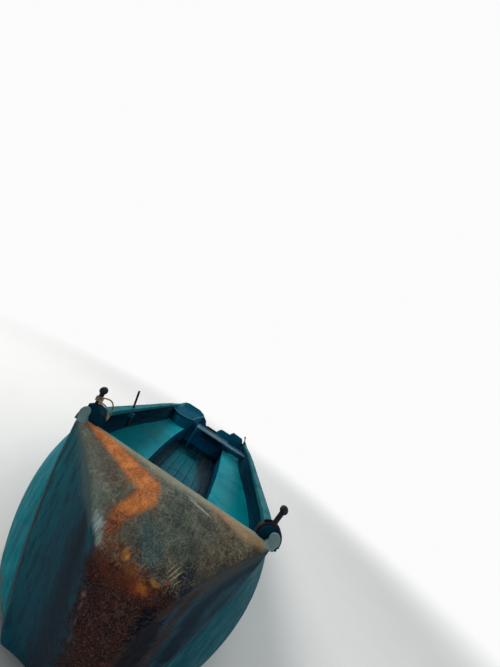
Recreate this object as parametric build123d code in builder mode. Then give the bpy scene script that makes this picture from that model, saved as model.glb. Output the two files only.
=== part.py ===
from build123d import *
from collections import namedtuple
from math import hypot, pi, radians, sqrt, tan
import os

os.makedirs("parts", exist_ok=True)

# Broad-bowed open beach boat, millimetres.
# +Z up, bow towards -Y, port side on +X, origin under the middle of the boat on the ground.

# Hull form, one row for each station from the bow corner to the stern
Station = namedtuple("Station", "y keel_z chine_x chine_z mid_x mid_z sheer_x sheer_z")
RIM_AFT_Y = -2380
STERN_Y = 2800
HULL_TABLE = [
    Station(RIM_AFT_Y, 88, 350, 120, 548, 600, 655, 1066),
    Station(-2150, 54, 632, 132, 760, 620, 700, 1032),
    Station(-1700, 42, 820, 115, 930, 570, 757, 979),
    Station(-700, 40, 900, 100, 1035, 460, 838, 866),
    Station(500, 40, 870, 100, 968, 410, 911, 750),
    Station(1650, 40, 780, 100, 868, 370, 940, 654),
    Station(STERN_Y, 40, 700, 100, 822, 330, 925, 590),
]
HULL_WALL = 25
HULL_RISE = 12
INNER_LIFT = 320
BOTTOM_SPLIT_Z = 150

# Gunwale cap laid along the sheer
CAP_INBOARD = 50
CAP_OUTBOARD = 20
CAP_BELOW = 14
CAP_ABOVE = 24

# Blunt bow: horizontal levels from the forefoot to above the rim
Level = namedtuple("Level", "z stem_half stem_y crown")
BOW_LEVELS = [
    Level(88, 72, -2466, 3),
    Level(350, 96, -2632, 9),
    Level(650, 131, -2734, 14),
    Level(900, 195, -2790, 16),
    Level(1180, 265, -2848, 18),
]
STEM_SHIFT = 72
CREASE_Y = -2430
CREASE_LOW = (300, 118)
CREASE_MID = (510, 600)
CREASE_TOP = (640, 1070)
PANEL_HOLLOW = 14
RIM_Z = 1088
BOW_ROUNDING = 30
APRON_MID = (-2610, 1022)
CHIN = (-2802, 876)

# Underside runners
KEEL_HALF_WIDTH = 32
KEEL_FRONT_Y = -2300
RUNNER_X = 520
RUNNER_HALF_WIDTH = 24
RUNNER_FRONT_Y = -1700
RUNNER_AFT_Y = STERN_Y - 60

# Benches along both sides, with the well between them
BENCH_TOP_Z = 400
BENCH_THICK = 22
BENCH_AFT_Y = 1900
BENCH_JOINT_GAP = 5
BENCH_JOINT_PORT_Y = 735
STRIP_FRONT_Y = 482
STRIP_AFT_Y = 568
WELL_FRONT_Y = -2330
WELL_FRONT_X = 250
WELL_MID_Y = -620
WELL_MID_X = 430
WELL_AFT_X = 440
FRONT_THICK = 20
FRONT_SETBACK = 12

# Floor of the well
FLOOR_TOP_Z = 140
FLOOR_THICK = 18
FLOOR_BOARDS = 7
FLOOR_BOARD_WIDTH = 134
FLOOR_BOARD_GAP = 7
BEARER_WIDTH = 50
BEARER_PLACES = [-2100, -1480, -860, -240, 380, 1000, 1780]

# Stern
TRANSOM_THICK = 36
TRANSOM_OUTLINE = [
    (-1100, 0), (-1100, 600), (-935, 600), (-920, 652), (-800, 684), (-480, 684), (-345, 640),
    (-300, 600), (-205, 542), (-150, 452), (152, 452), (222, 556), (262, 574), (486, 576),
    (506, 612), (548, 666), (800, 652), (846, 600), (860, 560), (1100, 556), (1100, 0),
]
PAD_LEFT = -98
PAD_RIGHT = 150
PAD_LOW_Z = 290
PAD_TOP_Z = 468
PAD_THICK = 24
BULKHEAD_Y = 1900
BULKHEAD_THICK = 22
BULKHEAD_TOP_Z = 552
PLANK_THICK = 24
PLANK_FRONT_Y = 1520
PLANK_AFT_Y = BULKHEAD_Y + BULKHEAD_THICK
PLANK_LEFT_X = -262
PLANK_WIDE_TO_X = 470
PLANK_STRIP_DEPTH = 200
WELL_POST_SIZE = 46

# Rounded seat in the starboard stern corner
SEAT_TOP_Z = 612
SEAT_THICK = 26
SEAT_SIDE = (-1060, 2120)
SEAT_SHOULDER = (-868, 1620)
SEAT_FRONT = (-660, 1438)
SEAT_CHEEK = (-478, 1540)
SEAT_BACK = (-396, 1870)
SEAT_HEEL_X = -290
SEAT_WALL = 18
SEAT_OVERHANG = 14

# Corner ears and their fittings on the bow rim
EAR_X = 616
EAR_CENTRE_Z = 1100
EAR_FOOT_Z = 1068
EAR_RADIUS_PORT = 62
EAR_RADIUS_STARBOARD = 74
EAR_FRONT_Y = -2402
EAR_AFT_Y = -2326
LIP_X = 625
LIP_HALF_WIDTH = 33
LIP_FRONT_Y = -2428
LIP_TOP_Z = 1153
BAND_THICK = 14
BAND_WIDTH = 34
BAND_Y = -2368
BAND_INNER_LEG = 30
BAND_OUTER_LEG = 20
PIN_RADIUS = 14
PIN_FOOT_Z = 1090
PIN_Y = -2368
PIN_FOOT_X = 602
PIN_HEAD_X = 630
PIN_HEAD_Z = 1256
BALL_RADIUS = 24
PIN_LEAN = (PIN_HEAD_X - PIN_FOOT_X) / (PIN_HEAD_Z - PIN_FOOT_Z)

# Rope lashed under the starboard ball: turns on the neck and one hanging bight
ROPE_DIAMETER = 9
COIL_CLEARANCE = 0.5
COIL_TURNS = 3
COIL_LOW_Z = 1190
COIL_PITCH = 8.4
BIGHT_POINTS = [
    (-574, -2322, 1224),
    (-548, -2292, 1186),
    (-540, -2284, 1128),
    (-531, -2317, 1106),
    (-522, -2350, 1126),
    (-532, -2366, 1174),
    (-568, -2374, 1198),
]
BIGHT_START_Z = 1211
BIGHT_END_Z = 1195
BEND_SHARE = 0.45

# Leaning thole pin with its eye and chock, and the small stern post
THOLE_Y = -1200
THOLE_FOOT = (-716, 771)
THOLE_HEAD = (-818, 1117)
THOLE_SHOULDER_Z = 956
THOLE_RADIUS = 11
THOLE_SHANK_RADIUS = 12.5
EYE_HALF_WIDTH = 25
EYE_LOW_Z = 858
EYE_TOP_Z = 900
EYE_END_X = -722
POST_FOOT = (900, 2500, 600)
POST_HEAD = (822, 2500, 756)
POST_RADIUS = 13
POST_BALL_RADIUS = 22


def circle_x(low, mid, top, z):
    """Half width at height z on the arc through three (x, z) points."""
    ax, az = low
    bx, bz = mid
    cx, cz = top
    d = 2 * (ax * (bz - cz) + bx * (cz - az) + cx * (az - bz))
    a2 = ax * ax + az * az
    b2 = bx * bx + bz * bz
    c2 = cx * cx + cz * cz
    centre_x = (a2 * (bz - cz) + b2 * (cz - az) + c2 * (az - bz)) / d
    centre_z = (a2 * (cx - bx) + b2 * (ax - cx) + c2 * (bx - ax)) / d
    radius = hypot(ax - centre_x, az - centre_z)
    reach = sqrt(radius * radius - (z - centre_z) ** 2)
    return centre_x + reach if bx > centre_x else centre_x - reach


def hull_body(inset, lift):
    """Solid hull form, its skin moved in by inset and its top carried lift above the sheer."""
    with BuildPart() as body:
        for row in HULL_TABLE:
            keel = (0, row.keel_z + inset)
            chine = (row.chine_x - inset, row.chine_z + inset)
            middle = (row.mid_x - inset, row.mid_z)
            sheer = (row.sheer_x - inset, row.sheer_z)
            brim = (row.sheer_x - inset, row.sheer_z + lift)
            with BuildSketch(Plane.XZ.offset(-row.y)):
                with BuildLine():
                    Line(keel, chine)
                    ThreePointArc(chine, middle, sheer)
                    Line(sheer, brim)
                    Line(brim, (-brim[0], brim[1]))
                    Line((-brim[0], brim[1]), (-sheer[0], sheer[1]))
                    ThreePointArc((-sheer[0], sheer[1]), (-middle[0], middle[1]), (-chine[0], chine[1]))
                    Line((-chine[0], chine[1]), keel)
                make_face()
        loft()
    return body.part


def gunwale_cap(side):
    """Cap strip along one sheer line; side is 1 for port and -1 for starboard."""
    with BuildPart() as cap:
        for row in HULL_TABLE:
            inner = side * (row.sheer_x - CAP_INBOARD)
            outer = side * (row.sheer_x + CAP_OUTBOARD)
            with BuildSketch(Plane.XZ.offset(-row.y)):
                with BuildLine():
                    Polyline(
                        (inner, row.sheer_z - CAP_BELOW),
                        (outer, row.sheer_z - CAP_BELOW),
                        (outer, row.sheer_z + CAP_ABOVE),
                        (inner, row.sheer_z + CAP_ABOVE),
                        close=True,
                    )
                make_face()
        loft()
    return cap.part


def block(x0, x1, y0, y1, z0, z1):
    """Plain box between two corners."""
    with BuildPart() as piece:
        with Locations(((x0 + x1) / 2, (y0 + y1) / 2, (z0 + z1) / 2)):
            Box(x1 - x0, y1 - y0, z1 - z0)
    return piece.part


outer_body = hull_body(0, HULL_RISE)
inner_body = hull_body(HULL_WALL, INNER_LIFT)
cap_port = gunwale_cap(1)
cap_starboard = gunwale_cap(-1)

def rope_bends(points):
    """Bend radius at each inner corner of the rope's route, from the shorter run beside it."""
    radii = []
    for before, corner, after in zip(points, points[1:], points[2:]):
        run_in = Vector(*corner) - Vector(*before)
        run_out = Vector(*after) - Vector(*corner)
        turn = run_in.get_angle(run_out)
        shorter = min(run_in.length, run_out.length)
        radii.append(BEND_SHARE * shorter / tan(radians(turn / 2)))
    return radii


def coil_side(point, z):
    """Point on the coil's outer face at height z, on the side towards the given point."""
    axis_x = -(PIN_FOOT_X + (z - PIN_FOOT_Z) * PIN_LEAN)
    away_x = point[0] - axis_x
    away_y = point[1] - PIN_Y
    away = hypot(away_x, away_y)
    reach = PIN_RADIUS + COIL_CLEARANCE + ROPE_DIAMETER - 0.5
    return (axis_x + reach * away_x / away, PIN_Y + reach * away_y / away, z)


# Blunt bow: stem a little to port, flared panels and the sloping apron behind the rim
with BuildPart() as bow_block:
    for level in BOW_LEVELS:
        aft_x = circle_x((350, 120), (548, 600), (655, 1066), level.z)
        crease_x = circle_x(CREASE_LOW, CREASE_MID, CREASE_TOP, level.z)
        bends = []
        for side in (1, -1):
            stem_x = side * STEM_SHIFT + level.stem_half
            run_x = crease_x - stem_x
            run_y = CREASE_Y - level.stem_y
            run = hypot(run_x, run_y)
            hollow = PANEL_HOLLOW * min(1.0, run / 300)
            bend_x = (crease_x + stem_x) / 2 - hollow * run_y / run
            bend_y = (CREASE_Y + level.stem_y) / 2 + hollow * run_x / run
            bends.append((side * bend_x, bend_y))
        stem_port = (STEM_SHIFT + level.stem_half, level.stem_y)
        stem_starboard = (STEM_SHIFT - level.stem_half, level.stem_y)
        with BuildSketch(Plane.XY.offset(level.z)):
            with BuildLine():
                Line((aft_x, RIM_AFT_Y), (crease_x, CREASE_Y))
                ThreePointArc((crease_x, CREASE_Y), bends[0], stem_port)
                ThreePointArc(stem_port, (STEM_SHIFT, level.stem_y - level.crown), stem_starboard)
                ThreePointArc(stem_starboard, bends[1], (-crease_x, CREASE_Y))
                Line((-crease_x, CREASE_Y), (-aft_x, RIM_AFT_Y))
                Line((-aft_x, RIM_AFT_Y), (aft_x, RIM_AFT_Y))
            make_face()
    loft()
    with BuildSketch(Plane.YZ.offset(-800)):
        with BuildLine():
            Line((RIM_AFT_Y, 0), (RIM_AFT_Y, RIM_Z))
            Line((RIM_AFT_Y, RIM_Z), (CREASE_Y, RIM_Z))
            ThreePointArc((CREASE_Y, RIM_Z), APRON_MID, CHIN)
            Line(CHIN, (-3000, 700))
            Line((-3000, 700), (-3000, 0))
            Line((-3000, 0), (RIM_AFT_Y, 0))
        make_face()
    extrude(amount=1600, mode=Mode.INTERSECT)
    rounded_edges = []
    for edge in bow_block.edges():
        middle = edge.center()
        on_crease = abs(middle.Y - CREASE_Y) < 2 and edge.length > 600
        if on_crease or middle.Y < CREASE_Y - 100:
            rounded_edges.append(edge)
    fillet(rounded_edges, radius=BOW_ROUNDING)
bow_block.part.label = "bow_block"
export_step(bow_block.part, "parts/bow_block.step")

# Hull skin in three strakes
with BuildPart() as hull_shell:
    add(outer_body)
    add(inner_body, mode=Mode.SUBTRACT)
    add(cap_port, mode=Mode.SUBTRACT)
    add(cap_starboard, mode=Mode.SUBTRACT)

with BuildPart() as hull_bottom:
    add(hull_shell.part)
    add(block(-1300, 1300, -2900, 2900, -50, BOTTOM_SPLIT_Z), mode=Mode.INTERSECT)
hull_bottom.part.label = "hull_bottom"
export_step(hull_bottom.part, "parts/hull_bottom.step")

with BuildPart() as hull_side_port:
    add(hull_shell.part)
    add(block(1, 1300, -2900, 2900, BOTTOM_SPLIT_Z, 1400), mode=Mode.INTERSECT)
hull_side_port.part.label = "hull_side_port"
export_step(hull_side_port.part, "parts/hull_side_port.step")

with BuildPart() as hull_side_starboard:
    add(hull_shell.part)
    add(block(-1300, -1, -2900, 2900, BOTTOM_SPLIT_Z, 1400), mode=Mode.INTERSECT)
hull_side_starboard.part.label = "hull_side_starboard"
export_step(hull_side_starboard.part, "parts/hull_side_starboard.step")

# Keel strip and the two runners the boat rests on
with BuildPart() as keel_strip:
    add(block(-KEEL_HALF_WIDTH, KEEL_HALF_WIDTH, KEEL_FRONT_Y, RUNNER_AFT_Y, 0, 90))
    add(outer_body, mode=Mode.SUBTRACT)
keel_strip.part.label = "keel_strip"
export_step(keel_strip.part, "parts/keel_strip.step")

for side, name in ((1, "runner_port"), (-1, "runner_starboard")):
    left = side * RUNNER_X - RUNNER_HALF_WIDTH
    right = side * RUNNER_X + RUNNER_HALF_WIDTH
    with BuildPart() as runner:
        add(block(left, right, RUNNER_FRONT_Y, RUNNER_AFT_Y, 0, 95))
        add(outer_body, mode=Mode.SUBTRACT)
    runner.part.label = name
    export_step(runner.part, "parts/" + name + ".step")

# Well outline: its sides spread from the bow and run nearly straight amidships
def well_side(side, shift):
    """Three points of one side of the well, moved outboard by shift."""
    return (
        (side * (WELL_FRONT_X + shift), WELL_FRONT_Y),
        (side * (WELL_MID_X + shift), WELL_MID_Y),
        (side * (WELL_AFT_X + shift), BENCH_AFT_Y),
    )


def seat_prism(inset, top_z):
    """Upright solid inside the corner seat's outline, its edge moved in by inset."""
    heel_y = STERN_Y - TRANSOM_THICK
    with BuildPart() as prism:
        with BuildSketch(Plane.XY):
            with BuildLine():
                ThreePointArc(SEAT_SIDE, SEAT_SHOULDER, SEAT_FRONT)
                ThreePointArc(SEAT_FRONT, SEAT_CHEEK, SEAT_BACK)
                Line(SEAT_BACK, (SEAT_HEEL_X, heel_y))
                Line((SEAT_HEEL_X, heel_y), (SEAT_SIDE[0], heel_y))
                Line((SEAT_SIDE[0], heel_y), SEAT_SIDE)
            make_face()
            if inset > 0:
                offset(amount=-inset, mode=Mode.REPLACE)
        extrude(amount=top_z)
    return prism.part


seat_foot = seat_prism(SEAT_OVERHANG, SEAT_TOP_Z - SEAT_THICK)

# Bench tops, in lengths with open joints between them
BENCH_RUNS = [
    (1, "bench_fore_port", WELL_FRONT_Y, BENCH_JOINT_PORT_Y),
    (1, "bench_aft_port", BENCH_JOINT_PORT_Y + BENCH_JOINT_GAP, BENCH_AFT_Y),
    (-1, "bench_fore_starboard", WELL_FRONT_Y, STRIP_FRONT_Y),
    (-1, "bench_strip_starboard", STRIP_FRONT_Y + BENCH_JOINT_GAP, STRIP_AFT_Y),
    (-1, "bench_aft_starboard", STRIP_AFT_Y + BENCH_JOINT_GAP, BENCH_AFT_Y),
]
for side, name, front_y, aft_y in BENCH_RUNS:
    first, bow_out, last = well_side(side, 0)
    with BuildPart() as bench:
        with BuildSketch(Plane.XY.offset(BENCH_TOP_Z - BENCH_THICK)):
            with BuildLine():
                ThreePointArc(first, bow_out, last)
                Line(last, (side * 1200, BENCH_AFT_Y))
                Line((side * 1200, BENCH_AFT_Y), (side * 1200, WELL_FRONT_Y))
                Line((side * 1200, WELL_FRONT_Y), first)
            make_face()
        extrude(amount=BENCH_THICK)
        add(block(-1300, 1300, front_y, aft_y, 0, 1000), mode=Mode.INTERSECT)
        add(inner_body, mode=Mode.INTERSECT)
        if name == "bench_aft_starboard":
            add(seat_foot, mode=Mode.SUBTRACT)
    bench.part.label = name
    export_step(bench.part, "parts/" + name + ".step")

# Locker fronts under the bench edges
for side, name in ((1, "locker_front_port"), (-1, "locker_front_starboard")):
    first, bow_out, last = well_side(side, FRONT_SETBACK)
    first_back, bow_back, last_back = well_side(side, FRONT_SETBACK + FRONT_THICK)
    with BuildPart() as front:
        with BuildSketch(Plane.XY.offset(0)):
            with BuildLine():
                ThreePointArc(first, bow_out, last)
                Line(last, last_back)
                ThreePointArc(last_back, bow_back, first_back)
                Line(first_back, first)
            make_face()
        extrude(amount=BENCH_TOP_Z - BENCH_THICK)
        add(inner_body, mode=Mode.INTERSECT)
        if side < 0:
            add(seat_foot, mode=Mode.SUBTRACT)
    front.part.label = name
    export_step(front.part, "parts/" + name + ".step")

# Room between the locker fronts, which bounds the floor
with BuildPart() as well_room:
    with BuildSketch(Plane.XY):
        with BuildLine():
            port_run = well_side(1, FRONT_SETBACK)
            starboard_run = well_side(-1, FRONT_SETBACK)
            ThreePointArc(*port_run)
            Line(port_run[2], starboard_run[2])
            ThreePointArc(starboard_run[2], starboard_run[1], starboard_run[0])
            Line(starboard_run[0], port_run[0])
        make_face()
    extrude(amount=BENCH_TOP_Z)
    add(inner_body, mode=Mode.INTERSECT)
    add(seat_foot, mode=Mode.SUBTRACT)

# Floorboards on their bearers
FLOOR_PITCH = FLOOR_BOARD_WIDTH + FLOOR_BOARD_GAP
with BuildPart() as floorboards:
    for number in range(FLOOR_BOARDS):
        centre_x = (number - (FLOOR_BOARDS - 1) / 2) * FLOOR_PITCH
        with Locations((centre_x, (WELL_FRONT_Y + BULKHEAD_Y) / 2, FLOOR_TOP_Z - FLOOR_THICK / 2)):
            Box(FLOOR_BOARD_WIDTH, BULKHEAD_Y - WELL_FRONT_Y, FLOOR_THICK)
    add(well_room.part, mode=Mode.INTERSECT)
floorboards.part.label = "floorboards"
export_step(floorboards.part, "parts/floorboards.step")

with BuildPart() as floor_bearers:
    for place in BEARER_PLACES:
        with Locations((0, place, (FLOOR_TOP_Z - FLOOR_THICK) / 2)):
            Box(2 * WELL_AFT_X, BEARER_WIDTH, FLOOR_TOP_Z - FLOOR_THICK)
    add(well_room.part, mode=Mode.INTERSECT)
floor_bearers.part.label = "floor_bearers"
export_step(floor_bearers.part, "parts/floor_bearers.step")

# Aft bulkhead, cross plank and the post at the corner of the well
with BuildPart() as aft_bulkhead:
    add(block(-1200, 1200, BULKHEAD_Y, BULKHEAD_Y + BULKHEAD_THICK, 0, BULKHEAD_TOP_Z))
    add(inner_body, mode=Mode.INTERSECT)
    add(seat_foot, mode=Mode.SUBTRACT)
    add(block(-1300, SEAT_BACK[0], 1000, 2800, 0, 1000), mode=Mode.SUBTRACT)
aft_bulkhead.part.label = "aft_bulkhead"
export_step(aft_bulkhead.part, "parts/aft_bulkhead.step")

with BuildPart() as cross_plank:
    add(block(PLANK_LEFT_X, PLANK_WIDE_TO_X, PLANK_FRONT_Y, PLANK_AFT_Y,
              BULKHEAD_TOP_Z, BULKHEAD_TOP_Z + PLANK_THICK))
    add(block(PLANK_WIDE_TO_X, 1200, PLANK_FRONT_Y, PLANK_FRONT_Y + PLANK_STRIP_DEPTH,
              BULKHEAD_TOP_Z, BULKHEAD_TOP_Z + PLANK_THICK))
    add(inner_body, mode=Mode.INTERSECT)
cross_plank.part.label = "cross_plank"
export_step(cross_plank.part, "parts/cross_plank.step")

with BuildPart() as well_post:
    add(block(PLANK_LEFT_X, PLANK_LEFT_X + WELL_POST_SIZE, PLANK_FRONT_Y, PLANK_FRONT_Y + WELL_POST_SIZE,
              FLOOR_TOP_Z, BULKHEAD_TOP_Z))
well_post.part.label = "well_post"
export_step(well_post.part, "parts/well_post.step")

# Transom with its notch, raised shoulders and the wooden pad inside the notch
with BuildPart() as transom:
    with BuildSketch(Plane.XZ.offset(-STERN_Y)):
        with BuildLine():
            Polyline(*TRANSOM_OUTLINE, close=True)
        make_face()
    extrude(amount=TRANSOM_THICK)
    add(inner_body, mode=Mode.INTERSECT)
    add(cap_port, mode=Mode.SUBTRACT)
    add(cap_starboard, mode=Mode.SUBTRACT)
transom.part.label = "transom"
export_step(transom.part, "parts/transom.step")

with BuildPart() as transom_pad:
    add(block(PAD_LEFT, PAD_RIGHT, STERN_Y - TRANSOM_THICK - PAD_THICK, STERN_Y - TRANSOM_THICK,
              PAD_LOW_Z, PAD_TOP_Z))
transom_pad.part.label = "transom_pad"
export_step(transom_pad.part, "parts/transom_pad.step")

# Rounded corner seat and the curved wall under it
with BuildPart() as corner_seat:
    add(seat_prism(0, SEAT_TOP_Z))
    add(block(-1300, 0, 1000, STERN_Y, 0, SEAT_TOP_Z - SEAT_THICK), mode=Mode.SUBTRACT)
    add(inner_body, mode=Mode.INTERSECT)
    add(cap_starboard, mode=Mode.SUBTRACT)
corner_seat.part.label = "corner_seat"
export_step(corner_seat.part, "parts/corner_seat.step")

with BuildPart() as seat_wall:
    add(seat_foot)
    add(seat_prism(SEAT_OVERHANG + SEAT_WALL, SEAT_TOP_Z - SEAT_THICK), mode=Mode.SUBTRACT)
    add(inner_body, mode=Mode.INTERSECT)
    add(block(-1300, 0, STERN_Y - TRANSOM_THICK - 60, STERN_Y, 0, 1000), mode=Mode.SUBTRACT)
seat_wall.part.label = "seat_wall"
export_step(seat_wall.part, "parts/seat_wall.step")

# Bow corner fittings: pin, ear and lip on both sides
bow_pins = []
for side, tail, ear_radius in ((1, "port", EAR_RADIUS_PORT), (-1, "starboard", EAR_RADIUS_STARBOARD)):
    with BuildPart() as pin:
        lean = Plane(
            origin=(side * PIN_FOOT_X, PIN_Y, PIN_FOOT_Z),
            z_dir=(side * (PIN_HEAD_X - PIN_FOOT_X), 0, PIN_HEAD_Z - PIN_FOOT_Z),
        )
        with BuildSketch(lean):
            Circle(PIN_RADIUS)
        extrude(amount=hypot(PIN_HEAD_X - PIN_FOOT_X, PIN_HEAD_Z - PIN_FOOT_Z))
        with Locations((side * PIN_HEAD_X, PIN_Y, PIN_HEAD_Z)):
            Sphere(BALL_RADIUS)
    bow_pins.append(pin.part)
    pin.part.label = "bow_pin_" + tail
    export_step(pin.part, "parts/bow_pin_" + tail + ".step")

    with BuildPart() as ear:
        with BuildSketch(Plane.XZ.offset(-EAR_AFT_Y)):
            with Locations((side * EAR_X, EAR_CENTRE_Z)):
                Circle(ear_radius)
            with Locations((side * EAR_X, EAR_CENTRE_Z - 500)):
                Rectangle(1000, 1000, mode=Mode.SUBTRACT)
            with Locations((side * EAR_X, (EAR_CENTRE_Z + EAR_FOOT_Z) / 2)):
                Rectangle(2 * ear_radius, EAR_CENTRE_Z - EAR_FOOT_Z)
        extrude(amount=EAR_AFT_Y - EAR_FRONT_Y)
        add(bow_block.part, mode=Mode.SUBTRACT)
        add(cap_port if side > 0 else cap_starboard, mode=Mode.SUBTRACT)
        add(hull_shell.part, mode=Mode.SUBTRACT)
        add(pin.part, mode=Mode.SUBTRACT)
    ear.part.label = "bow_ear_" + tail
    export_step(ear.part, "parts/bow_ear_" + tail + ".step")

    with BuildPart() as lip:
        with BuildSketch(Plane.XZ.offset(-EAR_FRONT_Y)):
            with Locations((side * LIP_X, LIP_TOP_Z - LIP_HALF_WIDTH)):
                Circle(LIP_HALF_WIDTH)
            with Locations((side * LIP_X, (LIP_TOP_Z - LIP_HALF_WIDTH + RIM_Z - 40) / 2)):
                Rectangle(2 * LIP_HALF_WIDTH, LIP_TOP_Z - LIP_HALF_WIDTH - RIM_Z + 40)
        extrude(amount=EAR_FRONT_Y - LIP_FRONT_Y)
        add(bow_block.part, mode=Mode.SUBTRACT)
    lip.part.label = "bow_lip_" + tail
    export_step(lip.part, "parts/bow_lip_" + tail + ".step")

# Chafing band over the port ear
outer_band = EAR_RADIUS_PORT + BAND_THICK
middle_band = EAR_RADIUS_PORT + BAND_THICK / 2
with BuildPart() as band:
    with BuildSketch(Plane.XZ.offset(-(BAND_Y + BAND_WIDTH / 2))):
        with Locations((EAR_X, EAR_CENTRE_Z)):
            Circle(outer_band)
            Circle(EAR_RADIUS_PORT, mode=Mode.SUBTRACT)
        with Locations((EAR_X, EAR_CENTRE_Z - 500)):
            Rectangle(1000, 1000, mode=Mode.SUBTRACT)
        with Locations((EAR_X - middle_band, EAR_CENTRE_Z - BAND_INNER_LEG / 2)):
            Rectangle(BAND_THICK, BAND_INNER_LEG)
        with Locations((EAR_X + middle_band, EAR_CENTRE_Z - BAND_OUTER_LEG / 2)):
            Rectangle(BAND_THICK, BAND_OUTER_LEG)
    extrude(amount=BAND_WIDTH)
    add(block(PIN_FOOT_X - 40, PIN_HEAD_X + 40, PIN_Y - PIN_RADIUS - 1, PIN_Y + PIN_RADIUS + 1,
              EAR_CENTRE_Z, PIN_HEAD_Z), mode=Mode.SUBTRACT)
    add(cap_port, mode=Mode.SUBTRACT)
    add(hull_shell.part, mode=Mode.SUBTRACT)
    add(bow_block.part, mode=Mode.SUBTRACT)
band.part.label = "chafing_band_port"
export_step(band.part, "parts/chafing_band_port.step")

# Rope under the starboard ball: turns round the neck, then a bight hanging inboard of the ear
rope_radius = ROPE_DIAMETER / 2
coil_middle = PIN_RADIUS + COIL_CLEARANCE + rope_radius
coil_foot = Plane(
    origin=(-(PIN_FOOT_X + (COIL_LOW_Z - PIN_FOOT_Z) * PIN_LEAN), PIN_Y, COIL_LOW_Z),
    x_dir=(0, 1, 0),
    z_dir=(-PIN_LEAN, 0, 1),
)
with BuildPart() as lashing_coil:
    for turn in range(COIL_TURNS):
        with Locations(coil_foot.offset(rope_radius + turn * COIL_PITCH)):
            Torus(coil_middle, rope_radius)
lashing_coil.part.label = "lashing_coil"
export_step(lashing_coil.part, "parts/lashing_coil.step")

bight = [coil_side(BIGHT_POINTS[0], BIGHT_START_Z)] + BIGHT_POINTS + [coil_side(BIGHT_POINTS[-1], BIGHT_END_Z)]
bight_bends = rope_bends(bight)
print("bight bend radii:", [round(bend, 1) for bend in bight_bends])
with BuildPart() as lashing_bight:
    with BuildLine() as bight_line:
        FilletPolyline(*bight, radius=bight_bends)
    with BuildSketch(Plane(origin=bight_line.line @ 0, z_dir=bight_line.line % 0)):
        Circle(rope_radius)
    sweep()
    add(lashing_coil.part, mode=Mode.SUBTRACT)
bight_length = bight_line.wire().length
print("bight length:", round(bight_length, 1), "volume ratio:",
      round(lashing_bight.part.volume / (pi * rope_radius ** 2 * bight_length), 4))
lashing_bight.part.label = "lashing_bight"
export_step(lashing_bight.part, "parts/lashing_bight.step")

# Leaning thole pin through the gunwale, held in an eye under it; its free end is thinner
thole_lean = (THOLE_HEAD[0] - THOLE_FOOT[0]) / (THOLE_HEAD[1] - THOLE_FOOT[1])
shoulder_x = THOLE_FOOT[0] + thole_lean * (THOLE_SHOULDER_Z - THOLE_FOOT[1])
thole_slope = hypot(thole_lean, 1)
with BuildPart() as thole_pin:
    with BuildSketch(Plane(origin=(THOLE_FOOT[0], THOLE_Y, THOLE_FOOT[1]), z_dir=(thole_lean, 0, 1))):
        Circle(THOLE_SHANK_RADIUS)
    extrude(amount=(THOLE_SHOULDER_Z - THOLE_FOOT[1]) * thole_slope)
    with BuildSketch(Plane(origin=(shoulder_x, THOLE_Y, THOLE_SHOULDER_Z), z_dir=(thole_lean, 0, 1))):
        Circle(THOLE_RADIUS)
    extrude(amount=(THOLE_HEAD[1] - THOLE_SHOULDER_Z) * thole_slope)
thole_pin.part.label = "thole_pin"
export_step(thole_pin.part, "parts/thole_pin.step")
print("thole pin free end:", round((THOLE_HEAD[1] - THOLE_SHOULDER_Z) * thole_slope, 3), "from x",
      round(shoulder_x, 3), "z", THOLE_SHOULDER_Z, "lean", round(thole_lean, 5))

with BuildPart() as thole_eye:
    add(block(-1200, EYE_END_X, THOLE_Y - EYE_HALF_WIDTH, THOLE_Y + EYE_HALF_WIDTH, EYE_LOW_Z, EYE_TOP_Z))
    add(inner_body, mode=Mode.INTERSECT)
    add(cap_starboard, mode=Mode.SUBTRACT)
    add(thole_pin.part, mode=Mode.SUBTRACT)
thole_eye.part.label = "thole_eye"
export_step(thole_eye.part, "parts/thole_eye.step")

# Gunwale caps, notched for the bow pins, the starboard one pierced by the thole pin
for tail, cap, bow_pin in (("port", cap_port, bow_pins[0]), ("starboard", cap_starboard, bow_pins[1])):
    with BuildPart() as gunwale:
        add(cap)
        add(bow_pin, mode=Mode.SUBTRACT)
        if tail == "starboard":
            add(thole_pin.part, mode=Mode.SUBTRACT)
    gunwale.part.label = "gunwale_" + tail
    export_step(gunwale.part, "parts/gunwale_" + tail + ".step")

# Small leaning post near the port stern corner
with BuildPart() as stern_post:
    post_plane = Plane(
        origin=POST_FOOT,
        z_dir=(POST_HEAD[0] - POST_FOOT[0], 0, POST_HEAD[2] - POST_FOOT[2]),
    )
    with BuildSketch(post_plane):
        Circle(POST_RADIUS)
    extrude(amount=hypot(POST_HEAD[0] - POST_FOOT[0], POST_HEAD[2] - POST_FOOT[2]))
    with Locations(POST_HEAD):
        Sphere(POST_BALL_RADIUS)
    add(cap_port, mode=Mode.SUBTRACT)
    add(hull_shell.part, mode=Mode.SUBTRACT)
stern_post.part.label = "stern_post"
export_step(stern_post.part, "parts/stern_post.step")
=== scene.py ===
"""Open rowing boat drawn up ashore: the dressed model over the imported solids."""

import logging
import math
from dataclasses import dataclass
from enum import Enum
from typing import Callable, Iterable, Mapping, Optional, Sequence

import bmesh
import bpy
from mathutils import Matrix, Vector, noise


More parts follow.
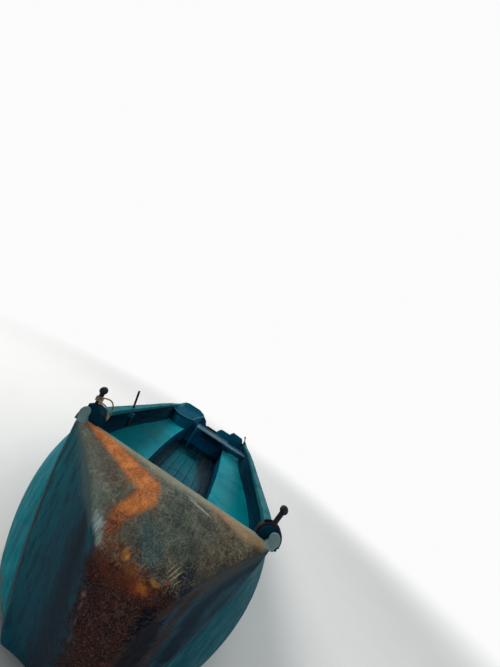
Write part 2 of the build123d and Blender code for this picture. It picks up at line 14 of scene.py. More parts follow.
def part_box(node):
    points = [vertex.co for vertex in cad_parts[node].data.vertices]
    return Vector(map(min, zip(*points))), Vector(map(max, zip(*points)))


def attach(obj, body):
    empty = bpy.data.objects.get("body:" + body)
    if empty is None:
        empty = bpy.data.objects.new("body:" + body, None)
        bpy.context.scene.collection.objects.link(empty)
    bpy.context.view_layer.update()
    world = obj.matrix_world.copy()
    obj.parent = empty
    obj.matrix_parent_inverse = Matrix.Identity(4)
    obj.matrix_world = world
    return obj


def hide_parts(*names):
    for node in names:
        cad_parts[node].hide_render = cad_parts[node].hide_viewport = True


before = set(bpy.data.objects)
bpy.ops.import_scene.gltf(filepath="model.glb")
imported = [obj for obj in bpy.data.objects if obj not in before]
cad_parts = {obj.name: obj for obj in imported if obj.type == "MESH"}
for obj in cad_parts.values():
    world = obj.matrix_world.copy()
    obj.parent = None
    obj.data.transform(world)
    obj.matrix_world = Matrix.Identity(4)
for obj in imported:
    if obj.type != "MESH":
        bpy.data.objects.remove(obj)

LOG = logging.getLogger("rowing_boat")
BODY = "root"
MERGE_GAP = 0.00004
LEVEL_GAP = 0.0001
WHITE = (1.0, 1.0, 1.0)
Colour = tuple[float, float, float]
Point = tuple[float, float, float]
Socket = bpy.types.NodeSocket
Material = bpy.types.Material
Piece = bpy.types.Object


def linear(red: int, green: int, blue: int) -> Colour:
    """Turn a colour as the eye reads it, 0 to 255, into scene-linear values.

    Args:
        red: red channel.
        green: green channel.
        blue: blue channel.

    Returns:
        The three linear channels, 0 to 1.
    """
    shares = (value / 255 for value in (red, green, blue))
    return tuple(share / 12.92 if share <= 0.04045 else ((share + 0.055) / 1.055) ** 2.4 for share in shares)


def metres(values: Sequence[float]) -> tuple[float, ...]:
    """Turn millimetres into metres."""
    return tuple(value / 1000 for value in values)


class Slot(Enum):
    """Names of the record's material slots."""

    BOW = "worn_bow"
    GUNWALE = "gunwale_paint"
    BENCH = "bench_paint"
    INNER = "inner_paint"
    WOOD = "bare_wood"
    RUBBER = "black_rubber"
    ROPE = "tarred_rope"


class Grain(Enum):
    """The way streaks and brush marks run over a surface."""

    ALONG = (34.0, 1.6, 34.0)
    ACROSS = (1.8, 34.0, 34.0)
    UPRIGHT = (30.0, 30.0, 1.4)
    NONE = (9.0, 9.0, 9.0)


@dataclass(frozen=True)
class Spot:
    """A soft oval place in its own colour, in millimetres: a stain, a worn place, a scratch or a patch of
    painted shadow.
    """

    centre: Point
    radii: Point
    colour: Colour
    share: float = 0.8
    along: Point = (1.0, 0.0, 0.0)
    soft: float = 0.35
    jag: float = 0.9


class Wiring:
    """Puts nodes into a node tree and links them."""

    def __init__(self, tree: bpy.types.NodeTree) -> None:
        """Take over a tree and empty it."""
        self.tree = tree
        tree.nodes.clear()

    def put(self, socket: Socket, value: object) -> None:
        """Link a socket, or set its value.

        Args:
            socket: the input to fill.
            value: another node's output, a number, or a colour of three numbers.
        """
        if isinstance(value, Socket):
            self.tree.links.new(value, socket)
        elif isinstance(value, tuple) and len(value) == 3 and socket.type == "RGBA":
            socket.default_value = (*value, 1.0)
        else:
            socket.default_value = value

    def node(
        self, kind: str, inputs: Optional[Mapping[object, object]] = None, **settings: object
    ) -> bpy.types.Node:
        """Add one node.

        Args:
            kind: its type, without the ShaderNode in front.
            inputs: what fills its inputs, by their names or numbers.
            **settings: the node's own values.

        Returns:
            The node.
        """
        node = self.tree.nodes.new("ShaderNode" + kind)
        for key, value in settings.items():
            setattr(node, key, value)
        for key, value in (inputs or {}).items():
            self.put(node.inputs[key], value)
        return node


class NodeBench(Wiring):
    """A material's node tree, built from left to right round one principled shader."""

    def __init__(self, name: str) -> None:
        """Start the tree.

        Args:
            name: the material's name.
        """
        self.material = bpy.data.materials.new(name)
        self.material.use_nodes = True
        super().__init__(self.material.node_tree)
        self.shader = self.node("BsdfPrincipled")
        self.output = self.node("OutputMaterial", {"Surface": self.shader.outputs["BSDF"]})
        self.place = self.node("TexCoord").outputs["Object"]

    def sums(self, kind: str, first: object, second: object = 0.0) -> Socket:
        """One arithmetic node, such as MULTIPLY, on two sockets or numbers."""
        return self.node("Math", {0: first, 1: second}, operation=kind).outputs["Value"]

    def times(self, first: object, second: object) -> Socket:
        """The product of two sockets or numbers."""
        return self.sums("MULTIPLY", first, second)

    def plus(self, first: object, second: object) -> Socket:
        """The sum of two sockets or numbers."""
        return self.sums("ADD", first, second)

    def larger(self, first: object, second: object) -> Socket:
        """The larger of two sockets or numbers."""
        return self.sums("MAXIMUM", first, second)

    def swing(self, value: Socket, amount: float) -> Socket:
        """How far a noise is from its middle, made larger or smaller."""
        return self.times(self.sums("SUBTRACT", value, 0.5), amount)

    def weigh(self, *terms: tuple[Socket, float]) -> Socket:
        """Add up values by their weights.

        Args:
            *terms: each value with its weight.

        Returns:
            The sum.
        """
        total, *others = [self.times(value, weight) for value, weight in terms]
        for other in others:
            total = self.plus(total, other)
        return total

    def step(self, value: Socket, low: float, high: float, amount: float = 1.0) -> Socket:
        """Smooth rise from 0 at low to the full amount at high, or a fall where low is the larger.

        Args:
            value: what is measured.
            low: the value that gives 0.
            high: the value that gives the amount.
            amount: the largest share.

        Returns:
            The share.
        """
        ends = {"From Min": min(low, high), "From Max": max(low, high)}
        ends |= {"To Min": float(low > high), "To Max": float(low <= high)}
        node = self.node("MapRange", {"Value": value, **ends}, interpolation_type="SMOOTHSTEP")
        share = node.outputs["Result"]
        return share if amount == 1.0 else self.times(share, amount)

    def blend(self, share: object, under: object, over: object) -> Socket:
        """Lay one colour over another, where share is how much of the upper one shows."""
        return self.node("Mix", {0: share, 6: under, 7: over}, data_type="RGBA").outputs[2]

    def coats(self, base: object, *coats: tuple[Socket, object]) -> Socket:
        """Lay several colours over a base, the lowest first.

        Args:
            base: the colour under them.
            *coats: each coat's share and its colour.

        Returns:
            The mixed colour.
        """
        for share, colour in coats:
            base = self.blend(share, base, colour)
        return base

    def level(self, share: object, under: object, over: object) -> Socket:
        """Go from one number to another, where share 0 gives the first and 1 the second."""
        return self.node("Mix", {0: share, 2: under, 3: over}, data_type="FLOAT").outputs[0]

    def stretched(self, scale: Point, turn: Point = (0.0, 0.0, 0.0)) -> Socket:
        """Object coordinates scaled and turned.

        Args:
            scale: factor on each axis.
            turn: turn about each axis, in degrees.

        Returns:
            The mapped coordinates.
        """
        turned = tuple(math.radians(value) for value in turn)
        shape = {"Scale": scale, "Rotation": turned}
        return self.node("Mapping", {"Vector": self.place, **shape}).outputs["Vector"]

    def clouds(
        self, scale: float, detail: float = 4.0, roughness: float = 0.55,
        where: Optional[Socket] = None, warp: float = 0.0,
    ) -> Socket:
        """Noise over the surface.

        Args:
            scale: features per metre, roughly.
            detail: how many finer layers are added.
            roughness: strength of the finer layers.
            where: coordinates, or the object's own when left out.
            warp: how far the pattern is pulled about.

        Returns:
            The noise's value, 0 to 1.
        """
        place = self.place if where is None else where
        settings = {"Scale": scale, "Detail": detail, "Roughness": roughness, "Distortion": warp}
        return self.node("TexNoise", {"Vector": place, **settings}).outputs["Fac"]

    def streaks(self, scale: Point, detail: float, roughness: float, turn: Point = (0.0, 0.0, 0.0)) -> Socket:
        """Noise drawn out into streaks by its own scale on each axis, and turned."""
        return self.clouds(1.0, detail, roughness, self.stretched(scale, turn))

    def cracks(self, scale: float) -> Socket:
        """Distance to the nearest crack of a surface with so many cells per metre."""
        node = self.node("TexVoronoi", {"Vector": self.place, "Scale": scale}, feature="DISTANCE_TO_EDGE")
        return node.outputs["Distance"]

    def curls(self, scale: float, width: float, warp: float) -> Socket:
        """Thin curling lines, as of glass strands under worn resin.

        Args:
            scale: features per metre, roughly.
            width: share of the pattern that the lines take.
            warp: how far the lines are pulled about.

        Returns:
            1 on a line, 0 beside it.
        """
        middle = self.sums("SUBTRACT", self.clouds(scale, 2.5, 0.5, warp=warp), 0.5)
        return self.step(self.sums("ABSOLUTE", middle), width, width * 0.25)

    def length(self, vector: Socket) -> Socket:
        """The length of a vector."""
        return self.node("VectorMath", {0: vector}, operation="LENGTH").outputs["Value"]

    def spot(self, spot: Spot, ragged: Socket) -> Socket:
        """Share of a soft oval place.

        Args:
            spot: the place.
            ragged: noise that eats into its border.

        Returns:
            The share, already weakened to the spot's own strength.
        """
        turn = Vector(spot.along).to_track_quat("X", "Z").to_euler()
        shape = {"Location": metres(spot.centre), "Rotation": turn, "Scale": metres(spot.radii)}
        node = self.node("Mapping", {"Vector": self.place, **shape}, vector_type="TEXTURE")
        reach = self.plus(self.length(node.outputs["Vector"]), self.swing(ragged, spot.jag))
        return self.step(reach, 1.0 + spot.soft, 1.0 - spot.soft, spot.share)

    def split(self, vector: Socket, letter: str) -> Socket:
        """One component of a vector, by its letter X, Y or Z."""
        return self.node("SeparateXYZ", {0: vector}).outputs[letter]

    def axis(self, letter: str) -> Socket:
        """One of the object coordinates, by its letter."""
        return self.split(self.place, letter)

    def facing(self, letter: str) -> Socket:
        """One component of the surface's own direction, by its letter."""
        return self.split(self.node("NewGeometry").outputs["Normal"], letter)

    def field(self, name: str) -> Socket:
        """The number stored on the mesh's points under a name."""
        return self.node("Attribute", attribute_name=name).outputs["Fac"]

    def finish(
        self, colour: object, roughness: object, height: Socket, depth: float,
        metallic: float = 0.0, specular: float = 0.28,
    ) -> Material:
        """Join colour, roughness and relief to the shader.

        Args:
            colour: the surface colour.
            roughness: the surface roughness.
            height: the relief, 0 to 1.
            depth: the relief's height, in metres.
            metallic: 1 for bare metal.
            specular: the shader's specular level.

        Returns:
            The finished material.
        """
        bump = self.node("Bump", {"Strength": 1.0, "Distance": depth, "Height": height})
        surface = {"Normal": bump.outputs["Normal"], "Base Color": colour, "Roughness": roughness}
        surface |= {"Metallic": metallic, "Specular IOR Level": specular}
        for name, value in surface.items():
            self.put(self.shader.inputs[name], value)
        return self.material


@dataclass(frozen=True)
class PaintFinish:
    """Old brushed paint with fading, stains, scuffs and places worn through; its spots also lay painted
    shadow on the cross plank and the floor.
    """

    name: str
    paint: Colour
    faded: Colour
    stain: Colour
    bare: Colour
    grain: Grain
    fade_amount: float
    stain_amount: float
    wear_amount: float
    smooth: float
    rough: float
    spots: tuple[Spot, ...] = ()
    shine: float = 0.07

    def make(self) -> Material:
        """Build the material.

        Returns:
            The finished paint.
        """
        bench = NodeBench(self.name)
        broad = bench.clouds(1.7, 3.0)
        middle = bench.clouds(6.5, 6.0, 0.62, warp=0.4)
        fine = bench.clouds(42.0, 6.0, 0.6)
        brushed = bench.streaks(self.grain.value, 5.0, 0.6)
        hair = bench.clouds(5.0, 3.0, 0.5, bench.stretched(self.grain.value, (3, 5, 2)))
        wear = 0.1 * self.wear_amount
        worn = bench.step(bench.weigh((middle, 0.6), (fine, 0.4)), 0.68 - wear, 0.7 - wear, 0.85)
        colour = bench.coats(
            self.paint,
            (bench.step(broad, 0.36, 0.72), self.faded),
            (bench.step(brushed, 0.3, 0.75, 0.4 * self.fade_amount), self.faded),
            (bench.step(middle, 0.5, 0.78, self.stain_amount), self.stain),
            (bench.step(fine, 0.6, 0.72, 0.35 * self.stain_amount), self.stain),
            *((bench.spot(spot, middle), spot.colour) for spot in self.spots),
            (bench.step(hair, 0.655, 0.7, 0.35), self.faded),
            (worn, self.bare),
        )
        gloss = bench.level(worn, bench.level(bench.step(middle, 0.35, 0.7), self.smooth, self.rough), 0.85)
        relief = bench.weigh((brushed, 0.5), (fine, 0.35), (worn, -0.45))
        return bench.finish(colour, gloss, relief, 0.0016, specular=self.shine)


@dataclass(frozen=True)
class WoodFinish:
    """Bare boards gone grey, with open grain."""

    name: str
    pale: Colour
    dark: Colour
    grain: Grain = Grain.ALONG

    def make(self) -> Material:
        """Build the material.

        Returns:
            The finished wood.
        """
        bench = NodeBench(self.name)
        lines = bench.clouds(3.0, 6.0, 0.7, bench.stretched(self.grain.value))
        pores = bench.clouds(90.0, 3.0)
        colour = bench.coats(
            self.dark,
            (bench.step(lines, 0.35, 0.7), self.pale),
            (bench.step(bench.clouds(4.0), 0.4, 0.75, 0.5), self.dark),
        )
        relief = bench.weigh((lines, 0.7), (pores, 0.3))
        return bench.finish(colour, bench.level(lines, 0.65, 0.9), relief, 0.002)


@dataclass(frozen=True)
class IronFinish:
    """Blackened iron with pits and a breath of rust."""

    name: str
    black: Colour
    rust: Colour

    def make(self) -> Material:
        """Build the material.

        Returns:
            The finished iron.
        """
        bench = NodeBench(self.name)
        broad = bench.clouds(22.0, 6.0, 0.65)
        pits = bench.clouds(240.0, 3.0, 0.6)
        colour = bench.coats(
            self.black,
            (bench.step(broad, 0.54, 0.72), self.rust),
            (bench.step(pits, 0.5, 0.7, 0.4), self.black),
        )
        relief = bench.weigh((broad, 0.5), (pits, 0.5))
        return bench.finish(colour, bench.level(broad, 0.35, 0.75), relief, 0.0009, metallic=0.35)


@dataclass(frozen=True)
class RubberFinish:
    """Split hose: dull black with dust and fine cracks."""

    name: str
    black: Colour
    dust: Colour

    def make(self) -> Material:
        """Build the material.

        Returns:
            The finished rubber.
        """
        bench = NodeBench(self.name)
        dusty = bench.clouds(18.0, 6.0, 0.6)
        colour = bench.blend(bench.step(dusty, 0.45, 0.75, 0.55), self.black, self.dust)
        relief = bench.plus(bench.step(bench.cracks(110.0), 0.0, 0.05), bench.times(dusty, 0.4))
        return bench.finish(colour, bench.level(dusty, 0.5, 0.85), relief, 0.0008)


@dataclass(frozen=True)
class RopeFinish:
    """Weathered three-strand rope."""

    name: str
    tan: Colour
    dirt: Colour

    def make(self) -> Material:
        """Build the material.

        Returns:
            The finished rope.
        """
        bench = NodeBench(self.name)
        hairs = bench.clouds(420.0, 4.0, 0.7)
        colour = bench.coats(
            self.tan,
            (bench.step(bench.clouds(30.0, 5.0), 0.4, 0.7), self.dirt),
            (bench.step(hairs, 0.5, 0.7, 0.5), self.dirt),
        )
        return bench.finish(colour, 0.9, hairs, 0.0007)


@dataclass(frozen=True)
class Patch:
    """A worn place, or a band of painted shade, on the bow: points of its middle line, each with a half
    width, in millimetres.
    """

    name: str
    line: tuple[tuple[float, float, float, float], ...]

    def measure(self, places: Sequence[float]) -> list[float]:
        """How far each point lies from the middle line, in half widths.

        Args:
            places: the points' coordinates, one after another, in metres.

        Returns:
            For each point 0 on the line, 1 on the patch's border, 4 at most.
        """
        line = [metres(point) for point in self.line]
        runs = []
        for first, second in zip(line, line[1:]):
            dx, dy, dz = (second[i] - first[i] for i in range(3))
            square = max(dx * dx + dy * dy + dz * dz, 1e-12)
            runs.append((*first, dx, dy, dz, second[3] - first[3], square))
        result = []
        for index in range(0, len(places), 3):
            x, y, z = places[index], places[index + 1], places[index + 2]
            best = 4.0
            for x0, y0, z0, half, dx, dy, dz, growth, square in runs:
                px, py, pz = x - x0, y - y0, z - z0
                share = min(1.0, max(0.0, (px * dx + py * dy + pz * dz) / square))
                px, py, pz = px - dx * share, py - dy * share, pz - dz * share
                away = math.sqrt(px * px + py * py + pz * pz) / (half + growth * share)
                if away < best:
                    best = away
            result.append(best)
        return result


BOW_PATCHES = (
    Patch("ochre", (
        (-610, -2400, 1088, 10), (-553, -2411, 1088, 20), (-479, -2436, 1087, 28), (-399, -2455, 1082, 36),
        (-312, -2481, 1075, 42), (-222, -2507, 1067, 46), (-143, -2526, 1060, 52), (-75, -2545, 1052, 58),
        (-50, -2590, 1032, 52), (-78, -2642, 1003, 44), (-108, -2690, 973, 36), (-100, -2730, 943, 30),
    )),
    Patch("halo", (
        (-560, -2425, 1086, 45), (-399, -2475, 1076, 80), (-250, -2530, 1058, 105),
        (-110, -2570, 1040, 100), (-70, -2620, 1015, 92), (-100, -2700, 965, 70), (-80, -2760, 915, 50),
    )),
    Patch("glow", (
        (-85, -2750, 925, 34), (-50, -2780, 895, 46), (10, -2795, 870, 54), (90, -2796, 865, 50),
        (155, -2792, 865, 36),
    )),
    Patch("umber_top", (
        (-40, -2775, 815, 80), (60, -2785, 810, 100), (160, -2775, 810, 102), (240, -2750, 810, 90),
    )),
    Patch("umber", (
        (80, -2765, 730, 165), (95, -2745, 660, 155), (110, -2720, 550, 140), (120, -2670, 410, 125),
        (100, -2500, 100, 100),
    )),
    Patch("umber_port", (
        (345, -2670, 870, 26), (338, -2640, 800, 30), (332, -2605, 700, 34), (333, -2565, 600, 36),
        (333, -2530, 480, 38), (300, -2460, 250, 60),
    )),
    Patch("tongue", (
        (-120, -2715, 955, 26), (-102, -2750, 926, 34), (-70, -2776, 902, 42), (-20, -2780, 895, 46),
        (50, -2790, 885, 40),
    )),
    Patch("sea", (
        (-10, -2655, 995, 24), (55, -2694, 970, 38), (87, -2727, 945, 42), (112, -2755, 922, 32),
    )),
    Patch("apron_port", (
        (575, -2490, 1050, 26), (500, -2560, 1000, 42), (430, -2610, 940, 58), (360, -2670, 880, 70),
    )),
    Patch("apron_shade", (
        (560, -2500, 1050, 50), (440, -2610, 1000, 80), (320, -2700, 940, 90), (220, -2760, 905, 60),
    )),
    # Painted shade: a navy band on the port panel just below the crease.
    Patch("crease_shade_port", (
        (610, -2440, 990, 28), (550, -2500, 930, 38), (480, -2540, 860, 46), (428, -2529, 730, 52),
        (428, -2490, 600, 54), (426, -2450, 450, 54),
    )),
    # Painted shade: a navy band along the stem's starboard side, in the panel's hollow.
    Patch("stem_shade_starboard", (
        (-225, -2700, 900, 30), (-190, -2690, 800, 62), (-165, -2670, 700, 84), (-125, -2660, 560, 90),
        (-85, -2630, 410, 95), (-60, -2560, 280, 100), (-30, -2450, 120, 100),
    )),
    Patch("chalk", (
        (-205, -2718, 942, 10), (-172, -2740, 933, 20), (-144, -2753, 922, 22), (-120, -2768, 905, 15),
        (-104, -2775, 890, 9),
    )),
    # Near-black indigo on the stem's port flank: dark paint that also stands in for the shade where the flank
    # turns from the light.
    Patch("indigo", (
        (206, -2776, 800, 30), (228, -2750, 740, 52), (248, -2700, 690, 70), (256, -2651, 600, 76),
        (258, -2606, 500, 78), (240, -2520, 300, 76),
    )),
    Patch("crease_pale", (
        (-590, -2430, 1070, 20), (-476, -2530, 1050, 40), (-391, -2600, 1010, 50), (-311, -2660, 975, 52),
        (-244, -2710, 940, 42), (-200, -2730, 915, 26),
    )),
    Patch("slate", ((268, -2722, 948, 30), (292, -2745, 915, 28))),
    Patch("rim", ((-620, -2402, 1088, 22), (0, -2410, 1088, 44), (620, -2402, 1088, 26))),
    Patch("rim_red", (
        (255, -2424, 1088, 8), (300, -2430, 1087, 15), (345, -2438, 1086, 15), (380, -2444, 1085, 8),
    )),
    Patch("rim_tan", (
        (360, -2440, 1085, 18), (445, -2453, 1082, 30), (507, -2460, 1081, 34), (580, -2453, 1082, 30),
        (620, -2420, 1085, 20),
    )),
    Patch("crease_rub", (
        (-610, -2428, 960, 10), (-575, -2428, 800, 18), (-500, -2428, 560, 22), (-400, -2428, 300, 22),
    )),
)
CREASES = Patch("creases", (
    (-600, -2425, 1078, 12), (-540, -2470, 1074, 30), (-476, -2523, 1060, 48), (-391, -2596, 1021, 60),
    (-311, -2653, 988, 68), (-244, -2700, 953, 70), (-192, -2734, 915, 60), (-137, -2770, 890, 44),
))
PALE_FIBRE = linear(150, 138, 112)
AMBER = linear(176, 124, 48)
CHALK_MARK = linear(150, 158, 150)
BOW_SPOTS = (
    Spot((8, -2765, 913), (11, 16, 16), AMBER, 0.45, jag=4.0, soft=0.8),
    Spot((24, -2770, 908), (7, 10, 10), linear(206, 136, 44), 0.5, jag=3.6, soft=0.7),
    Spot((66, -2786, 892), (30, 20, 20), linear(112, 70, 40), 0.5, jag=3.6, soft=0.7),
    Spot((126, -2797, 868), (17, 16, 16), AMBER, 0.5, jag=3.2, soft=0.7),
    Spot((147, -2794, 858), (15, 14, 14), linear(160, 84, 36), 0.55, jag=3.2, soft=0.7),
    Spot((113, -2796, 858), (22, 18, 24), linear(128, 52, 30), 0.55, jag=3.2, soft=0.7),
    Spot((165, -2780, 895), (18, 9, 9), AMBER, 0.4, jag=3.0, soft=0.5),
    Spot((207, -2768, 910), (8, 7, 7), linear(132, 30, 34), 0.7, jag=1.0),
    Spot((218, -2737, 937), (30, 2.2, 8), PALE_FIBRE, 0.8, (0.029, 0.040, 0.033), jag=0.5),
    Spot((234, -2740, 936), (30, 2.2, 8), PALE_FIBRE, 0.8, (0.035, 0.039, 0.033), jag=0.5),
    Spot((203, -2733, 940), (24, 1.8, 8), PALE_FIBRE, 0.6, (0.026, 0.040, 0.033), jag=0.5),
    Spot((247, -2752, 926), (20, 1.8, 8), PALE_FIBRE, 0.5, (0.040, 0.034, 0.033), jag=0.5),
    Spot((185, -2475.5, 1076), (50, 6, 10), CHALK_MARK, 0.6, (0.06, -0.008, -0.003), jag=1.8),
    Spot((240, -2483, 1074), (40, 4.5, 10), CHALK_MARK, 0.5, (0.06, -0.012, -0.004), jag=1.8),
    Spot((150, -2458, 1081), (30, 4, 10), CHALK_MARK, 0.45, (0.06, -0.008, -0.002), jag=1.6),
    Spot((-47, -2753, 707), (9, 10, 16), linear(124, 100, 86), 0.5, jag=3.0, soft=0.5),
    Spot((-34, -2743, 665), (6, 10, 24), linear(110, 84, 74), 0.45, jag=3.0, soft=0.5),
    Spot((-20, -2728, 600), (6, 10, 30), linear(100, 72, 62), 0.4, jag=3.0, soft=0.5),
    Spot((-4, -2706, 530), (7, 10, 34), linear(90, 62, 54), 0.4, jag=3.0, soft=0.5),
)


@dataclass(frozen=True)
class BowFinish:
    """Worn resin over the blunt bow: streaked teal panels, a grey-brown apron, the worn patches and bands of
    painted shade.
    """

    name: str = "bow_worn_fibre"
    teal: Colour = linear(2, 94, 106)
    # Painted shade: the darker teal of the starboard panel's hollow towards the stem.
    teal_hollow_shade: Colour = linear(0, 64, 80)
    teal_dark: Colour = linear(0, 42, 58)
    navy: Colour = linear(0, 22, 38)
    slate: Colour = linear(12, 44, 58)
    slate_pale: Colour = linear(36, 70, 82)
    olive: Colour = linear(78, 90, 82)
    olive_dark: Colour = linear(40, 52, 52)
    warm: Colour = linear(98, 88, 68)
    warm_dark: Colour = linear(52, 48, 42)
    ash: Colour = linear(112, 120, 110)
    sea: Colour = linear(30, 66, 74)
    rim: Colour = linear(132, 132, 116)
    rim_tan: Colour = linear(150, 122, 88)
    rim_red: Colour = linear(158, 92, 58)
    crease: Colour = linear(92, 108, 100)
    ochre: Colour = linear(200, 120, 60)
    ochre_low: Colour = linear(150, 84, 42)
    ochre_speck: Colour = linear(236, 158, 92)
    rust: Colour = linear(104, 52, 28)
    umber: Colour = linear(42, 19, 20)
    umber_dark: Colour = linear(20, 10, 16)
    umber_speck: Colour = linear(126, 92, 76)
    indigo: Colour = linear(2, 4, 20)
    chalk: Colour = linear(142, 164, 164)
    pit: Colour = linear(16, 20, 24)

    def make(self) -> Material:
        """Build the material from the distances stored on the shell."""
        return BowBench(self).paint()


class BowBench(NodeBench):
    """The bow's node tree: noises that its layers share, and the layers."""

    def __init__(self, tint: BowFinish) -> None:
        """Start the tree and its noises.

        Args:
            tint: the finish, with its colours.
        """
        super().__init__(tint.name)
        self.tint = tint
        self.side = self.axis("X")
        self.ragged = self.clouds(16.0, 8.0, 0.68, warp=0.5)
        self.grit = self.clouds(75.0, 6.0, 0.65)
        self.dust = self.clouds(210.0, 3.0, 0.7)
        self.broad = self.clouds(3.2, 4.0, 0.6)
        self.streak = self.streaks((30.0, 30.0, 1.7), 7.0, 0.68, (0, 8, 0))
        self.fine_streak = self.streaks((95.0, 95.0, 4.5), 5.0, 0.65, (0, 8, 0))
        self.downhill = self.streaks((80.0, 9.0, 9.0), 5.0, 0.65, (0, 0, 12))

    def patch(self, name: str, soft: float, jag: float = 1.5, amount: float = 1.0) -> Socket:
        """Share of a patch at each place, with a ragged border.

        Args:
            name: the patch's name.
            soft: width of the border, in half widths.
            jag: how ragged it is.
            amount: the largest share.

        Returns:
            The share.
        """
        coarse = self.plus(self.field(name), self.swing(self.ragged, jag))
        fine = self.plus(self.swing(self.grit, jag * 0.6), self.swing(self.dust, jag * 0.7))
        return self.step(self.plus(coarse, fine), 1.0 + soft, 1.0 - soft, amount)

    def panels(self) -> Socket:
        """The two hollow panels.

        Returns:
            Teal to starboard of the stem and slate to port of it, with painted shade in the starboard hollow
            towards the stem and along the port crease.
        """
        starboard = self.coats(
            self.tint.teal,
            # Painted shade: the starboard panel darkens towards the stem.
            (self.step(self.side, -0.56, -0.26), self.tint.teal_hollow_shade),
            (self.step(self.streak, 0.60, 0.36, 0.8), self.tint.teal_dark),
            (self.step(self.fine_streak, 0.58, 0.72, 0.45), self.tint.teal),
            # Painted shade: navy along the stem's starboard side.
            (self.patch("stem_shade_starboard", 0.75, amount=0.9), self.tint.navy),
        )
        port = self.coats(
            self.tint.slate,
            (self.step(self.streak, 0.36, 0.7), self.tint.slate_pale),
            (self.step(self.fine_streak, 0.56, 0.72, 0.5), self.tint.slate_pale),
            # Painted shade: navy along the port panel below the crease.
            (self.patch("crease_shade_port", 0.6, amount=0.8), self.tint.navy),
        )
        return self.blend(self.step(self.side, 0.02, 0.12), starboard, port)

    def apron(self) -> Socket:
        """The sloping apron with its rim.

        Returns:
            Cool grey to starboard and warm grey to port, with streaks, grit and the rim's colours.
        """
        tint = self.tint
        cool = self.blend(self.step(self.ragged, 0.34, 0.68), tint.olive_dark, tint.olive)
        tan = self.blend(self.step(self.ragged, 0.34, 0.68), tint.warm_dark, tint.warm)
        lean = self.plus(self.side, self.swing(self.broad, 0.7))
        return self.coats(
            cool,
            (self.step(lean, 0.06, 0.42), tan),
            (self.step(self.broad, 0.45, 0.68, 0.45), tint.ash),
            (self.step(self.downhill, 0.57, 0.7, 0.4), tint.ash),
            (self.step(self.downhill, 0.44, 0.34, 0.5), tint.olive_dark),
            (self.step(self.grit, 0.58, 0.7, 0.5), tint.warm_dark),
            (self.times(self.curls(24.0, 0.03, 1.1), 0.4), tint.olive_dark),
            (self.patch("sea", 0.8, 2.4, 0.5), tint.sea),
            (self.patch("rim", 0.6, amount=0.75), tint.rim),
            (self.patch("rim_tan", 0.6, amount=0.6), tint.rim_tan),
            (self.patch("rim_red", 0.9, 3.0, 0.55), tint.rim_red),
        )

    def brown(self) -> Socket:
        """The brown of the chin and the stem.

        Returns:
            Umber with rusty streaks, dark pits and pale specks.
        """
        return self.coats(
            self.tint.umber_dark,
            (self.step(self.ragged, 0.34, 0.62), self.tint.umber),
            (self.step(self.fine_streak, 0.54, 0.70, 0.45), self.tint.rust),
            (self.step(self.grit, 0.56, 0.68, 0.28), self.tint.rust),
            (self.step(self.grit, 0.46, 0.38, 0.55), self.tint.indigo),
            (self.step(self.dust, 0.56, 0.64, 0.45), self.tint.umber_speck),
        )

    def orange(self, low: Socket) -> Socket:
        """The orange place on the apron, rustier low down.

        Args:
            low: 1 at its foot, 0 above it.

        Returns:
            Its colour.
        """
        return self.coats(
            self.tint.ochre_low,
            (self.step(self.ragged, 0.40, 0.62), self.tint.ochre),
            (self.step(self.grit, 0.58, 0.72, 0.5), self.tint.rust),
            (self.step(self.dust, 0.53, 0.62, 0.35), self.tint.ochre_speck),
            (self.step(self.dust, 0.45, 0.37, 0.5), self.tint.rust),
            (self.step(self.axis("Z"), 1.0, 0.93), self.tint.rust),
            (self.times(low, self.step(self.grit, 0.52, 0.42)), self.tint.rust),
        )

    def strands(self, shown: Socket) -> Socket:
        """Pale glass strands under the worn resin.

        Args:
            shown: how much of them shows at each place.

        Returns:
            Their share.
        """
        long = self.times(self.curls(17.0, 0.03, 1.4), self.step(self.broad, 0.38, 0.58))
        both = self.larger(self.times(long, 0.42), self.times(self.curls(38.0, 0.035, 1.0), 0.2))
        return self.times(both, shown)

